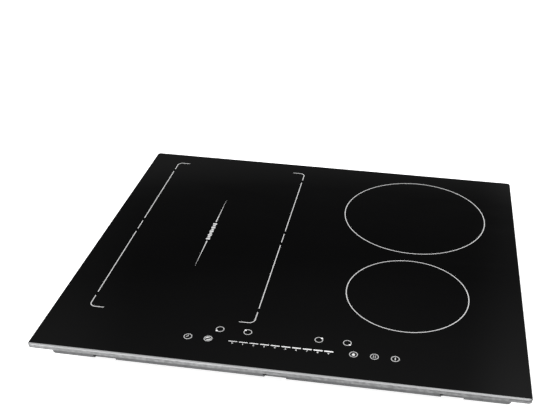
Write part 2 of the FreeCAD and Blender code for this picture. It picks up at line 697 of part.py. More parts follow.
def terminal_box():
    x0, x1 = BOX_LEFT_X, BOX_RIGHT_X
    block = box(x0, x1, PAN_BACK, BOX_MOUTH, BOX_BASE_LEVEL, BOX_TOP)
    outer_rims = [e for e in block.Edges if e.BoundBox.YLength > 1 and e.BoundBox.ZLength < 1e-3]
    block = block.makeFillet(BOX_WALL, outer_rims)
    hollow = box(x0 + BOX_WALL, x1 - BOX_WALL, PAN_BACK + BOX_WALL, BOX_MOUTH, BOX_BASE_LEVEL + BOX_WALL,
                 BOX_TOP - BOX_WALL)
    relief = box(x0 + BOX_WALL, x1 - BOX_WALL, HINGE_Y - HINGE_SWING_RADIUS, BOX_MOUTH, HINGE_Z, BOX_TOP)
    shaft = cylinder_along_x(x0, x1, HINGE_Y, HINGE_Z, HINGE_PIN_RADIUS + RUNNING_CLEARANCE)
    inlet = cylinder_along_x(x0, x0 + BOX_WALL, (PAN_BACK + BOX_MOUTH) / 2, INLET_LEVEL,
                             INLET_BORE_RADIUS + INLET_HOLE_MARGIN)
    wire_way = cylinder_along_y(x1 - WIRE_WAY_INSET, PAN_BACK, PAN_BACK + BOX_WALL, BOX_TOP - WIRE_WAY_DROP,
                                WIRE_WAY_RADIUS)
    earth_x, earth_y = earth_screw_place()
    earth = cylinder(earth_x, earth_y, BOX_BASE_LEVEL, BOX_BASE_LEVEL + BOX_WALL, EARTH_SCREW_RADIUS)
    return block.cut([hollow, relief, shaft, inlet, wire_way, earth])


def terminal_cover():
    """A flap with its hinge pins at the top. Its top strip turns between the side walls of the box."""
    inside0 = BOX_LEFT_X + BOX_WALL + COVER_GAP
    inside1 = BOX_RIGHT_X - BOX_WALL - COVER_GAP
    y0 = COVER_INNER
    y1 = COVER_INNER + COVER_THICKNESS
    shoulder = HINGE_Z - COVER_SHOULDER_DROP
    skirt = box(BOX_LEFT_X, BOX_RIGHT_X, y0, y1, BOX_BASE_LEVEL, shoulder)
    low_corners = [e for e in skirt.Edges if e.BoundBox.YLength > 1 and e.BoundBox.ZLength < 1e-3
                   and abs(e.BoundBox.ZMin - BOX_BASE_LEVEL) < 1e-3]
    skirt = skirt.makeFillet(COVER_CORNER_RADIUS, low_corners)
    head = box(inside0, inside1, y0, y1, shoulder, HINGE_Z + HINGE_LUG_RADIUS)
    middle = (BOX_LEFT_X + BOX_RIGHT_X) / 2
    tab_z = BOX_BASE_LEVEL + COVER_TAB_LIFT
    tab = box(middle - COVER_TAB_WIDTH / 2, middle + COVER_TAB_WIDTH / 2, y1, y1 + COVER_TAB_DEPTH,
              tab_z, tab_z + COVER_TAB_HEIGHT)
    pieces = [skirt, head, tab]
    for side, x_in, x_out in ((-1, inside0, BOX_LEFT_X), (1, inside1, BOX_RIGHT_X)):
        lug0, lug1 = sorted((x_in, x_in - side * HINGE_LUG_WIDTH))
        pin0, pin1 = sorted((x_in - side * HINGE_PIN_ROOT, x_out))
        lug = box(lug0, lug1, HINGE_Y, y0, HINGE_Z - HINGE_LUG_RADIUS, HINGE_Z + HINGE_LUG_RADIUS)
        pieces.append(lug.fuse(cylinder_along_x(lug0, lug1, HINGE_Y, HINGE_Z, HINGE_LUG_RADIUS)))
        pieces.append(cylinder_along_x(pin0, pin1, HINGE_Y, HINGE_Z, HINGE_PIN_RADIUS))
    for offset in COVER_RIB_OFFSETS:
        x = middle + offset
        pieces.append(box(x - COVER_RIB_WIDTH / 2, x + COVER_RIB_WIDTH / 2, y1, y1 + COVER_RIB_DEPTH,
                          BOX_BASE_LEVEL + COVER_RIB_FOOT, shoulder - COVER_RIB_HEAD_GAP))
    return fuse(pieces)


def cable_inlet():
    """The sleeve in the wall of the terminal box that the supply cable passes through."""
    y = (PAN_BACK + BOX_MOUTH) / 2
    x1 = BOX_LEFT_X
    collar = cylinder_along_x(x1 - INLET_LENGTH, x1, y, INLET_LEVEL, INLET_RADIUS)
    rims = [e for e in collar.Edges if abs(e.BoundBox.XMax - (x1 - INLET_LENGTH)) < 1e-3]
    collar = collar.makeChamfer(INLET_CHAMFER, rims)
    nut_radius = INLET_RADIUS + INLET_NUT_LAP
    nut = cylinder_along_x(x1 - INLET_NUT_LENGTH, x1, y, INLET_LEVEL, nut_radius)
    grips = []
    for i in range(INLET_GRIP_COUNT):
        grip = box(x1 - INLET_NUT_LENGTH, x1, y - INLET_GRIP_WIDTH / 2, y + INLET_GRIP_WIDTH / 2,
                   INLET_LEVEL + nut_radius - INLET_GRIP_DEPTH, INLET_LEVEL + nut_radius + INLET_GRIP_DEPTH)
        grip.rotate(V(x1, y, INLET_LEVEL), X_AXIS, 360 / INLET_GRIP_COUNT * i)
        grips.append(grip)
    sleeve = fuse([collar, nut.cut(grips)])
    return sleeve.cut(cylinder_along_x(x1 - INLET_LENGTH, x1, y, INLET_LEVEL, INLET_BORE_RADIUS))


def terminal_first_x():
    return BOX_RIGHT_X - BOX_WALL - TERMINAL_END_MARGIN - TERMINAL_PITCH * (TERMINAL_COUNT - 1)


def earth_screw_place():
    return terminal_first_x() - EARTH_SCREW_GAP, PAN_BACK + EARTH_SCREW_GAP


def terminal_block():
    x0 = terminal_first_x() - TERMINAL_PITCH / 2
    x1 = x0 + TERMINAL_PITCH * TERMINAL_COUNT
    y0 = PAN_BACK + BOX_WALL
    y1 = y0 + TERMINAL_DEPTH
    z0 = BOX_BASE_LEVEL + BOX_WALL
    block = box(x0, x1, y0, y1, z0, z0 + TERMINAL_HEIGHT)
    cuts = []
    for i in range(TERMINAL_COUNT):
        x = terminal_first_x() + TERMINAL_PITCH * i
        cuts.append(cylinder_along_y(x, y1 - TERMINAL_WELL_DEPTH, y1, z0 + TERMINAL_WELL_LEVEL,
                                     TERMINAL_WELL_RADIUS))
        cuts.append(box(x - TERMINAL_MOUTH_WIDTH / 2, x + TERMINAL_MOUTH_WIDTH / 2, y1 - TERMINAL_MOUTH_DEPTH,
                        y1, z0 + TERMINAL_MOUTH_LOW, z0 + TERMINAL_MOUTH_HIGH))
        if i:
            saw_x = x - TERMINAL_PITCH / 2
            cuts.append(box(saw_x - TERMINAL_SAW_WIDTH / 2, saw_x + TERMINAL_SAW_WIDTH / 2,
                            y1 - TERMINAL_SAW_DEPTH, y1, z0 + TERMINAL_SAW_LEVEL, z0 + TERMINAL_HEIGHT))
    return block.cut(cuts)


def terminal_screws():
    """Clamping screws in the terminal block, and the earth screw in the floor of the box."""
    y0 = PAN_BACK + BOX_WALL + TERMINAL_DEPTH - TERMINAL_WELL_DEPTH
    y1 = y0 + TERMINAL_SCREW_HEIGHT
    z = BOX_BASE_LEVEL + BOX_WALL + TERMINAL_WELL_LEVEL
    screws = []
    for i in range(TERMINAL_COUNT):
        x = terminal_first_x() + TERMINAL_PITCH * i
        head = cylinder_along_y(x, y0, y1, z, TERMINAL_SCREW_RADIUS)
        blade = box(x - TERMINAL_SLOT_LENGTH / 2, x + TERMINAL_SLOT_LENGTH / 2, y1 - TERMINAL_SLOT_DEPTH, y1,
                    z - TERMINAL_SLOT_WIDTH / 2, z + TERMINAL_SLOT_WIDTH / 2)
        screws.append(head.cut(blade))
    x, y = earth_screw_place()
    screws.append(screw(x, y, BOX_BASE_LEVEL + BOX_WALL, BOX_WALL, EARTH_SCREW_RADIUS,
                        EARTH_SCREW_HEAD_RADIUS, EARTH_SCREW_HEAD_HEIGHT))
    return group(screws)


# ---------------------------------------------------------------- cooling fans

def fan_places():
    return {name: (side * FAN_X, FAN_Y) for name, side in MODULE_SIDES.items()}


def fan_screw_corners(x, y):
    reach = FAN_SIZE / 2 - FAN_SCREW_INSET
    return [(x + sx * reach, y + sy * reach) for sx in (-1, 1) for sy in (-1, 1)]


def fan_housing(x, y):
    half = FAN_SIZE / 2
    z0 = SHEET
    z1 = SHEET + FAN_HEIGHT
    block = rounded_box(x - half, x + half, y - half, y + half, z0, z1, FAN_CORNER_RADIUS)
    hollow = rounded_box(x - half + FAN_WALL, x + half - FAN_WALL, y - half + FAN_WALL, y + half - FAN_WALL,
                         z0 + FAN_WALL, z1 - FAN_WALL, FAN_CORNER_RADIUS - FAN_WALL)
    inlet = cylinder(x, y, z0, z0 + FAN_WALL, FAN_INLET_RADIUS)
    outlet = box(x - FAN_OUTLET_WIDTH / 2, x + FAN_OUTLET_WIDTH / 2, y - half, y - half + FAN_WALL,
                 z0 + FAN_WALL, z1 - FAN_WALL)
    posts = [cylinder(px, py, z0, z1, FAN_POST_RADIUS) for px, py in fan_screw_corners(x, y)]
    bores = [cylinder(px, py, z0, z1, FAN_SCREW_RADIUS) for px, py in fan_screw_corners(x, y)]
    boss = cylinder(x, y, FAN_BOSS_LOW, z1 - FAN_WALL, FAN_BOSS_RADIUS)
    pin = cylinder(x, y, FAN_PIN_LOW, z1 - FAN_WALL, FAN_PIN_RADIUS)
    washer = cylinder(x, y, FAN_PIN_LOW - FAN_WASHER_THICKNESS, FAN_PIN_LOW, FAN_PIN_RADIUS * 2)
    shell = block.cut([hollow, inlet, outlet])
    return fuse([shell] + posts + [boss, pin, washer]).cut(bores)


def fan_rotor(x, y):
    """A radial impeller that hangs on the pin in the top of its housing."""
    low = FAN_PIN_LOW + FAN_WHEEL_END_GAP
    high = FAN_BOSS_LOW - FAN_WHEEL_END_GAP
    hub = cylinder(x, y, low, high, FAN_HUB_RADIUS)
    hub = hub.makeFillet(FAN_HUB_FILLET, level_edges(hub, low))
    disc = cylinder(x, y, high - FAN_RIM_THICKNESS, high, FAN_WHEEL_RADIUS)
    ring = tube(x, y, low, low + FAN_RIM_THICKNESS, FAN_WHEEL_RADIUS, FAN_WHEEL_RADIUS - FAN_RING_WIDTH)
    blades = []
    r1 = FAN_WHEEL_RADIUS - FAN_BLADE_INSET
    for i in range(FAN_BLADE_COUNT):
        blade = box(x + r1 - FAN_BLADE_LENGTH, x + r1, y - FAN_BLADE_THICKNESS / 2,
                    y + FAN_BLADE_THICKNESS / 2, low, high - FAN_RIM_THICKNESS)
        blade.rotate(V(x + r1, y, 0), Z_AXIS, FAN_BLADE_LEAN)
        blades.append(turned(blade, x, y, 360 / FAN_BLADE_COUNT * i))
    wheel = fuse([hub, disc, ring] + blades)
    return wheel.cut(cylinder(x, y, low, high, FAN_PIN_RADIUS + RUNNING_CLEARANCE))


def fan_screws():
    screws = []
    for x, y in fan_places().values():
        for px, py in fan_screw_corners(x, y):
            screws.append(screw(px, py, SHEET + FAN_HEIGHT, FAN_HEIGHT - FAN_SCREW_END_GAP, FAN_SCREW_RADIUS,
                                FAN_SCREW_HEAD_RADIUS, FAN_SCREW_HEAD_HEIGHT))
    return group(screws)


# ---------------------------------------------------------------- power electronics

def module_x(side, from_centre):
    return side * (MODULE_GAP / 2 + from_centre)


def module_box(side, near, far, y0, y1, z0, z1):
    """A box in one module, given by its distances from the module's inner edge."""
    x0, x1 = sorted((module_x(side, near), module_x(side, far)))
    return box(x0, x1, y0, y1, z0, z1)


def board_hole_places(side):
    columns = (MODULE_MARGIN, BOARD_WIDTH - MODULE_MARGIN)
    rows = (BOARD_FRONT_Y + BOARD_HOLE_INSET, (BOARD_FRONT_Y + BOARD_BACK_Y) / 2,
            BOARD_BACK_Y - BOARD_HOLE_INSET)
    return [(module_x(side, column), y) for column in columns for y in rows]


def etray_box(side, inset, z0, z1):
    margin = ETRAY_END_MARGIN - inset
    return module_box(side, inset, BOARD_WIDTH + 2 * BOARD_EDGE_GAP - inset,
                      BOARD_FRONT_Y - margin, BOARD_BACK_Y + margin, z0, z1)


def electronics_tray(side):
    z0 = SHEET + BEAD_RISE
    floor = etray_box(side, 0, z0, z0 + ETRAY_THICKNESS)
    rim = etray_box(side, 0, z0, BOARD_UNDERSIDE - ETRAY_RIM_DROP)
    well = etray_box(side, ETRAY_THICKNESS, z0, BOARD_UNDERSIDE)
    pegs = [tube(x, y, z0, BOARD_UNDERSIDE, STANDOFF_RADIUS, SCREW_RADIUS)
            for x, y in board_hole_places(side)]
    holes = [cylinder(x, y, z0, BOARD_UNDERSIDE, SCREW_RADIUS) for x, y in board_hole_places(side)]
    columns = (ETRAY_FOOT_INSET, BOARD_WIDTH - ETRAY_FOOT_INSET - ETRAY_FOOT)
    rows = (BOARD_FRONT_Y, BOARD_BACK_Y - ETRAY_FOOT_INSET - ETRAY_FOOT)
    feet = [module_box(side, near, near + ETRAY_FOOT, y, y + ETRAY_FOOT, SHEET, z0)
            for near in columns for y in rows]
    return fuse([floor, rim.cut(well)] + pegs + feet).cut(holes)


def power_board(side):
    board = module_box(side, BOARD_EDGE_GAP, BOARD_WIDTH + BOARD_EDGE_GAP, BOARD_FRONT_Y, BOARD_BACK_Y,
                       BOARD_UNDERSIDE, BOARD_TOP)
    return board.cut([cylinder(x, y, BOARD_UNDERSIDE, BOARD_TOP, SCREW_RADIUS)
                      for x, y in board_hole_places(side)])


def sink_span(side):
    centre = side * FAN_X
    return centre - SINK_WIDTH / 2, centre + SINK_WIDTH / 2


def heat_sink(side):
    """An extrusion with a base and upright fins along the air stream."""
    x0, x1 = sink_span(side)
    y1 = SINK_FRONT_Y + SINK_LENGTH
    base = box(x0, x1, SINK_FRONT_Y, y1, BOARD_TOP, BOARD_TOP + SINK_BASE)
    fins = [box(x, x + SINK_FIN_THICKNESS, SINK_FRONT_Y, y1, BOARD_TOP, BOARD_TOP + SINK_HEIGHT)
            for x in spread(x0, x1 - SINK_FIN_THICKNESS, SINK_FIN_COUNT)]
    return fuse([base] + fins)


def air_duct(side):
    """A hood that leads the air from the fan's mouth over the heat sink."""
    x0, x1 = sink_span(side)
    x0 -= DUCT_SIDE_GAP + DUCT_WALL
    x1 += DUCT_SIDE_GAP + DUCT_WALL
    y0 = SINK_FRONT_Y
    y1 = FAN_Y - FAN_SIZE / 2
    z1 = BOARD_TOP + SINK_HEIGHT + DUCT_GAP + DUCT_WALL
    hood = box(x0, x1, y0, y1, BOARD_TOP, z1)
    hollow = box(x0 + DUCT_WALL, x1 - DUCT_WALL, y0, y1, BOARD_TOP, z1 - DUCT_WALL)
    return hood.cut(hollow)


def power_semiconductors():
    """Power transistors and one rectifier, clamped to the side of each heat sink."""
    parts = []
    for side in MODULE_SIDES.values():
        x0, x1 = sink_span(side)
        face, away = (x0, -1) if side < 0 else (x1, 1)
        near, far = sorted((face, face + away * TRANSISTOR_THICKNESS))
        z0 = BOARD_TOP + TRANSISTOR_LIFT
        rows = spread(SINK_FRONT_Y + TRANSISTOR_END_MARGIN,
                      SINK_FRONT_Y + SINK_LENGTH - TRANSISTOR_END_MARGIN, TRANSISTOR_COUNT + 1)
        for i, y in enumerate(rows):
            half = (RECTIFIER_WIDTH if i == TRANSISTOR_COUNT else TRANSISTOR_WIDTH) / 2
            parts.append(box(near, far, y - half, y + half, z0, z0 + TRANSISTOR_HEIGHT))
    return group(parts)


def rounded_brick(x0, x1, y0, y1, z0, z1, radius):
    brick = rounded_box(x0, x1, y0, y1, z0, z1, radius)
    return brick.makeFillet(radius * 0.5, level_edges(brick, z1))


def board_bricks(rows, near, width, length, height, radius):
    """Like parts that stand on both power boards, one at each y of the rows."""
    parts = []
    for side in MODULE_SIDES.values():
        x0, x1 = sorted((module_x(side, near), module_x(side, near + width)))
        parts += [rounded_brick(x0, x1, y - length / 2, y + length / 2, BOARD_TOP, BOARD_TOP + height, radius)
                  for y in rows]
    return group(parts)


def resonance_capacitors():
    return board_bricks(spread(CAPACITOR_FIRST_Y, CAPACITOR_LAST_Y, CAPACITOR_COUNT), CAPACITOR_NEAR,
                        CAPACITOR_LENGTH, CAPACITOR_WIDTH, CAPACITOR_HEIGHT, CAPACITOR_CORNER_RADIUS)


def relays():
    return board_bricks(RELAY_ROWS_Y, RELAY_NEAR, RELAY_WIDTH, RELAY_LENGTH, RELAY_HEIGHT,
                        RELAY_CORNER_RADIUS)


def buffer_chokes():
    """Wound rings that lie flat on the power boards."""
    top = BOARD_TOP + BUFFER_CHOKE_HEIGHT
    rings = [tube(module_x(side, BUFFER_CHOKE_NEAR), BUFFER_CHOKE_Y, BOARD_TOP, top, BUFFER_CHOKE_RADIUS,
                  BUFFER_CHOKE_HOLE_RADIUS) for side in MODULE_SIDES.values()]
    return group([ring.makeFillet(BUFFER_CHOKE_FILLET, level_edges(ring, top)) for ring in rings])


def side_board_span():
    """The two small boards beside the fans have the same size, one on each side."""
    return (FAN_X + FAN_SIZE / 2 + SIDE_BOARD_GAP, PAN_SIDE - SHEET - SIDE_BOARD_MARGIN,
            FAN_Y - SIDE_BOARD_DEPTH / 2, FAN_Y + SIDE_BOARD_DEPTH / 2)


def side_board_legs(side):
    x0, x1, y0, y1 = side_board_span()
    return [cylinder(side * x, y, SHEET, BOARD_UNDERSIDE, STANDOFF_RADIUS)
            for x in (x0 + BOARD_HOLE_INSET, x1 - BOARD_HOLE_INSET)
            for y in (y0 + BOARD_HOLE_INSET, y1 - BOARD_HOLE_INSET)]


def filter_board():
    x0, x1, y0, y1 = side_board_span()
    board = box(x0, x1, y0, y1, BOARD_UNDERSIDE, BOARD_TOP)
    return fuse([board] + side_board_legs(1))


def filter_choke():
    """Mains filter coil: a wound core standing on the filter board."""
    x = side_board_span()[0] + CHOKE_OFFSET
    level = BOARD_TOP + CHOKE_RING_RADIUS + CHOKE_WINDING_RADIUS
    core = Part.makeTorus(CHOKE_RING_RADIUS, CHOKE_WINDING_RADIUS, V(x, FAN_Y, level), Y_AXIS)
    foot = box(x - CHOKE_FOOT_WIDTH / 2, x + CHOKE_FOOT_WIDTH / 2, FAN_Y - CHOKE_FOOT_DEPTH / 2,
               FAN_Y + CHOKE_FOOT_DEPTH / 2, BOARD_TOP, BOARD_TOP + CHOKE_FOOT_HEIGHT)
    return fuse([core, foot])


def supply_board():
    """Low-voltage supply, at the back of the left module, with its transformer."""
    x0, x1, y0, y1 = side_board_span()
    board = box(-x1, -x0, y0, y1, BOARD_UNDERSIDE, BOARD_TOP)
    right = -x0 - TRANSFORMER_OFFSET
    transformer = rounded_brick(right - TRANSFORMER_WIDTH, right, FAN_Y - TRANSFORMER_DEPTH / 2,
                                FAN_Y + TRANSFORMER_DEPTH / 2, BOARD_TOP, BOARD_TOP + TRANSFORMER_HEIGHT,
                                TRANSFORMER_CORNER_RADIUS)
    return fuse([board, transformer] + side_board_legs(-1))


def board_screws():
    return group([screw(x, y, BOARD_TOP, STANDOFF_HEIGHT, SCREW_RADIUS, SCREW_HEAD_RADIUS,
                        SCREW_HEAD_HEIGHT)
                  for side in MODULE_SIDES.values() for x, y in board_hole_places(side)])


# ---------------------------------------------------------------- coils

def plate_span(side):
    near = PLATE_GAP / 2
    far = TRAY_SIDE - SHEET - PLATE_MARGIN
    x0, x1 = sorted((side * near, side * far))
    return x0, x1, PAN_FRONT + PLATE_FRONT_CLEARANCE, TRAY_BACK - SHEET - PLATE_MARGIN


def plate_screw_places(side):
    x0, x1, _, y1 = plate_span(side)
    outer = x0 + PLATE_SCREW_INSET if side < 0 else x1 - PLATE_SCREW_INSET
    inner = x1 - PLATE_SCREW_INNER_INSET if side < 0 else x0 + PLATE_SCREW_INNER_INSET
    return [(outer, y) for y in PLATE_SCREW_ROWS_Y] + [(inner, y1 - PLATE_SCREW_INSET)]


def lead_angle(name):
    """The direction of a coil's lugs: outwards, and towards the middle of the cooktop's depth."""
    x, y, _ = COILS[name]
    angle = 45 if y < FLEX_ZONE_Y else -45
    return angle if x > 0 else 180 - angle


def lead_places(name):
    x, y, radius = COILS[name]
    angle = math.radians(lead_angle(name))
    reach = radius + LEAD_STANDOFF
    places = []
    for offset in (-LEAD_PITCH / 2, LEAD_PITCH / 2):
        places.append((x + reach * math.cos(angle) - offset * math.sin(angle),
                       y + reach * math.sin(angle) + offset * math.cos(angle)))
    return places


def side_of(name):
    return MODULE_SIDES[name.split("_")[1]]


def coil_plate(side):
    """Aluminium sheet that carries the coils, on folded edges that stand on the tray's floor."""
    x0, x1, y0, y1 = plate_span(side)
    sheet = box(x0, x1, y0, y1, PLATE_UNDERSIDE, PLATE_TOP)
    outer_edge = box(x0, x0 + PLATE_THICKNESS, y0, y1, TRAY_FLOOR, PLATE_TOP)
    if side > 0:
        outer_edge = box(x1 - PLATE_THICKNESS, x1, y0, y1, TRAY_FLOOR, PLATE_TOP)
    back_edge = box(x0, x1, y1 - PLATE_THICKNESS, y1, TRAY_FLOOR, PLATE_TOP)
    holes = [cylinder(x, y, TRAY_FLOOR, PLATE_TOP, SCREW_RADIUS) for x, y in plate_screw_places(side)]
    for name in COILS:
        if side_of(name) == side:
            holes += [cylinder(x, y, PLATE_UNDERSIDE, PLATE_TOP, LEAD_RADIUS + LEAD_HOLE_MARGIN)
                      for x, y in lead_places(name)]
    return fuse([sheet, outer_edge, back_edge]).cut(holes)


def coil_plate_screws():
    return group([screw(x, y, PLATE_TOP, PLATE_THICKNESS, SCREW_RADIUS, SCREW_HEAD_RADIUS,
                        SCREW_HEAD_HEIGHT)
                  for side in MODULE_SIDES.values() for x, y in plate_screw_places(side)])


def coil_former(name):
    x, y, radius = COILS[name]
    plate = cylinder(x, y, FORMER_UNDERSIDE, FORMER_TOP, radius + FORMER_RIM)
    rim = tube(x, y, FORMER_TOP, FORMER_TOP + FORMER_RIM_HEIGHT, radius + FORMER_RIM, radius + WINDING_GAP)
    hub_radius = COIL_HOLE_RADIUS - FORMER_HUB_GAP
    hub = tube(x, y, FORMER_TOP, WINDING_TOP, hub_radius, hub_radius - FORMER_HUB_WALL)
    lug = box(x + radius, x + radius + FORMER_RIM + LUG_LENGTH, y - LUG_WIDTH / 2, y + LUG_WIDTH / 2,
              FORMER_UNDERSIDE, FORMER_TOP)
    hole = cylinder(x, y, FORMER_UNDERSIDE, FORMER_TOP, FORMER_HOLE_RADIUS)
    return fuse([plate, rim, hub, turned(lug, x, y, lead_angle(name))]).cut(hole)


def coil_winding(name):
    x, y, radius = COILS[name]
    return tube(x, y, FORMER_TOP, WINDING_TOP, radius, COIL_HOLE_RADIUS)


def ferrite_bars():
    bars = []
    for x, y, radius in COILS.values():
        bar = box(x + COIL_HOLE_RADIUS + FERRITE_INNER_GAP, x + radius - FERRITE_OUTER_GAP,
                  y - FERRITE_WIDTH / 2, y + FERRITE_WIDTH / 2,
                  FORMER_UNDERSIDE - FERRITE_THICKNESS, FORMER_UNDERSIDE)
        bars += [turned(bar, x, y, 360 / FERRITE_COUNT * i) for i in range(FERRITE_COUNT)]
    return group(bars)


def mica_sheets():
    sheets = []
    for x, y, radius in COILS.values():
        sheets.append(tube(x, y, WINDING_TOP, GLASS_UNDERSIDE, radius + FORMER_RIM, FORMER_HOLE_RADIUS))
    return group(sheets)


def temperature_sensors():
    """A probe in the middle of each coil that touches the underside of the glass."""
    probes = []
    for x, y, _ in COILS.values():
        body = cylinder(x, y, FORMER_TOP, GLASS_UNDERSIDE, SENSOR_RADIUS)
        flange = cylinder(x, y, FORMER_TOP, FORMER_TOP + SENSOR_FLANGE_THICKNESS,
                          FORMER_HOLE_RADIUS + SENSOR_FLANGE_LAP)
        probes.append(fuse([body, flange]))
    return group(probes)


def leaf_spring(x, y, z0, z1):
    """An arched strip that stands on its two ends and carries a coil on its crown."""
    half = SPRING_SPAN / 2
    toe = half - SPRING_TOE
    outer = Part.Arc(V(x - half, y, z0), V(x, y, z1), V(x + half, y, z0)).toShape()
    inner = Part.Arc(V(x + toe, y, z0), V(x, y, z1 - SPRING_STRIP), V(x - toe, y, z0)).toShape()
    right = Part.LineSegment(V(x + half, y, z0), V(x + toe, y, z0)).toShape()
    left = Part.LineSegment(V(x - toe, y, z0), V(x - half, y, z0)).toShape()
    face = Part.Face(Part.Wire([outer, right, inner, left]))
    strip = face.extrude(V(0, SPRING_WIDTH, 0))
    strip.translate(V(0, -SPRING_WIDTH / 2, 0))
    return strip


def support_springs():
    springs = []
    for x, y, radius in COILS.values():
        reach = radius - SPRING_SPAN / 2 - SPRING_EDGE_GAP
        for i in range(SPRING_COUNT):
            angle = 360 / FERRITE_COUNT * (2 * i + 0.5)
            spring = leaf_spring(x + reach, y, PLATE_TOP, FORMER_UNDERSIDE)
            springs.append(turned(spring, x, y, angle))
    return group(springs)


def coil_leads():
    """Two stiff leads to each coil, from the power board up through the coil plate to the coil's lugs."""
    return group([cylinder(x, y, BOARD_TOP, FORMER_UNDERSIDE, LEAD_RADIUS)
                  for name in COILS for x, y in lead_places(name)])


# ---------------------------------------------------------------- touch controls

def key_places():
    places = [(x, KEY_ROW_BACK) for x in ZONE_KEY_X]
    places += [(x, KEY_ROW_FRONT) for x in ACTION_KEY_X]
    first = SLIDER_CENTRE_X - SLIDER_KEY_PITCH * (SLIDER_KEY_COUNT - 1) / 2
    places += [(first + SLIDER_KEY_PITCH * i, KEY_ROW_FRONT) for i in range(SLIDER_KEY_COUNT)]
    return places


def touch_board_span():
    x0 = TOUCH_BOARD_CENTRE_X - TOUCH_BOARD_WIDTH / 2
    y0 = TOUCH_BOARD_CENTRE_Y - TOUCH_BOARD_DEPTH / 2
    return x0, x0 + TOUCH_BOARD_WIDTH, y0, y0 + TOUCH_BOARD_DEPTH


def touch_board():
    x0, x1, y0, y1 = touch_board_span()
    return box(x0, x1, y0, y1, TOUCH_BOARD_TOP - BOARD_THICKNESS, TOUCH_BOARD_TOP)


def touch_springs():
    return group([tube(x, y, TOUCH_BOARD_TOP, GLASS_UNDERSIDE, TOUCH_SPRING_RADIUS,
                       TOUCH_SPRING_RADIUS - TOUCH_SPRING_WALL) for x, y in key_places()])


def touch_carrier():
    x0, x1, y0, y1 = touch_board_span()
    low = TRAY_FLOOR + PAD_RISE
    under = TOUCH_BOARD_TOP - BOARD_THICKNESS
    block = box(x0 - CARRIER_WALL, x1 + CARRIER_WALL, y0 - CARRIER_WALL, y1 + CARRIER_WALL, low,
                under + CARRIER_RIM)
    seat = box(x0, x1, y0, y1, under, under + CARRIER_RIM)
    well = box(x0 + CARRIER_SHELF, x1 - CARRIER_SHELF, y0 + CARRIER_SHELF, y1 - CARRIER_SHELF,
               low + CARRIER_WALL, under)
    foot_y = y0 - CARRIER_WALL
    legs = [box(x - CARRIER_LEG_WIDTH / 2, x + CARRIER_LEG_WIDTH / 2, foot_y, foot_y + CARRIER_LEG_DEPTH,
                TRAY_FLOOR, low) for x in (x0 + CARRIER_LEG_INSET, x1 - CARRIER_LEG_INSET)]
    return fuse([block.cut([seat, well])] + legs)


def slider_light_guide():
    """Clear bar behind the slider marks."""
    first = SLIDER_CENTRE_X - SLIDER_KEY_PITCH * SLIDER_KEY_COUNT / 2
    last = SLIDER_CENTRE_X + SLIDER_KEY_PITCH * SLIDER_KEY_COUNT / 2
    y0 = KEY_ROW_FRONT + TOUCH_SPRING_RADIUS + LIGHT_GUIDE_GAP
    return rounded_box(first, last, y0, y0 + LIGHT_GUIDE_DEPTH, TOUCH_BOARD_TOP,
                       GLASS_UNDERSIDE - LIGHT_GUIDE_DROP, LIGHT_GUIDE_CORNER_RADIUS)


def control_ribbon():
    """Flat cable from the touch board down in front of the coil plates to a power board."""
    _, _, _, y1 = touch_board_span()
    t = RIBBON_THICKNESS
    rim = TOUCH_BOARD_TOP - BOARD_THICKNESS + CARRIER_RIM
    under = rim + FACE_GAP + t
    y_drop = y1 + CARRIER_WALL + RIBBON_GAP
    low = BOARD_TOP + RIBBON_LIFT
    x0 = MODULE_GAP / 2 + RIBBON_OFFSET_X
    x1 = x0 + RIBBON_WIDTH
    end = BOARD_FRONT_Y + RIBBON_BOARD_REACH
    points = [(y1 - RIBBON_END_LAP, under), (y_drop + t, under), (y_drop + t, low + t), (end, low + t),
              (end, low), (y_drop, low), (y_drop, under - t), (y1 - RIBBON_END_LAP, under - t)]
    face = Part.Face(Part.makePolygon([V(x0, y, z) for y, z in points + points[:1]]))
    ribbon = face.extrude(V(RIBBON_WIDTH, 0, 0))
    plug = box(x0 - PLUG_SIDE_LAP, x1 + PLUG_SIDE_LAP, end - PLUG_DEPTH / 2, end + PLUG_DEPTH / 2,
               BOARD_TOP, low)
    top_plug = box(x0 - PLUG_SIDE_LAP, x1 + PLUG_SIDE_LAP, y1 - RIBBON_END_LAP,
                   y1 - RIBBON_END_LAP + TOP_PLUG_DEPTH, TOUCH_BOARD_TOP, under)
    return fuse([ribbon, plug, top_plug])


# ---------------------------------------------------------------- assembly

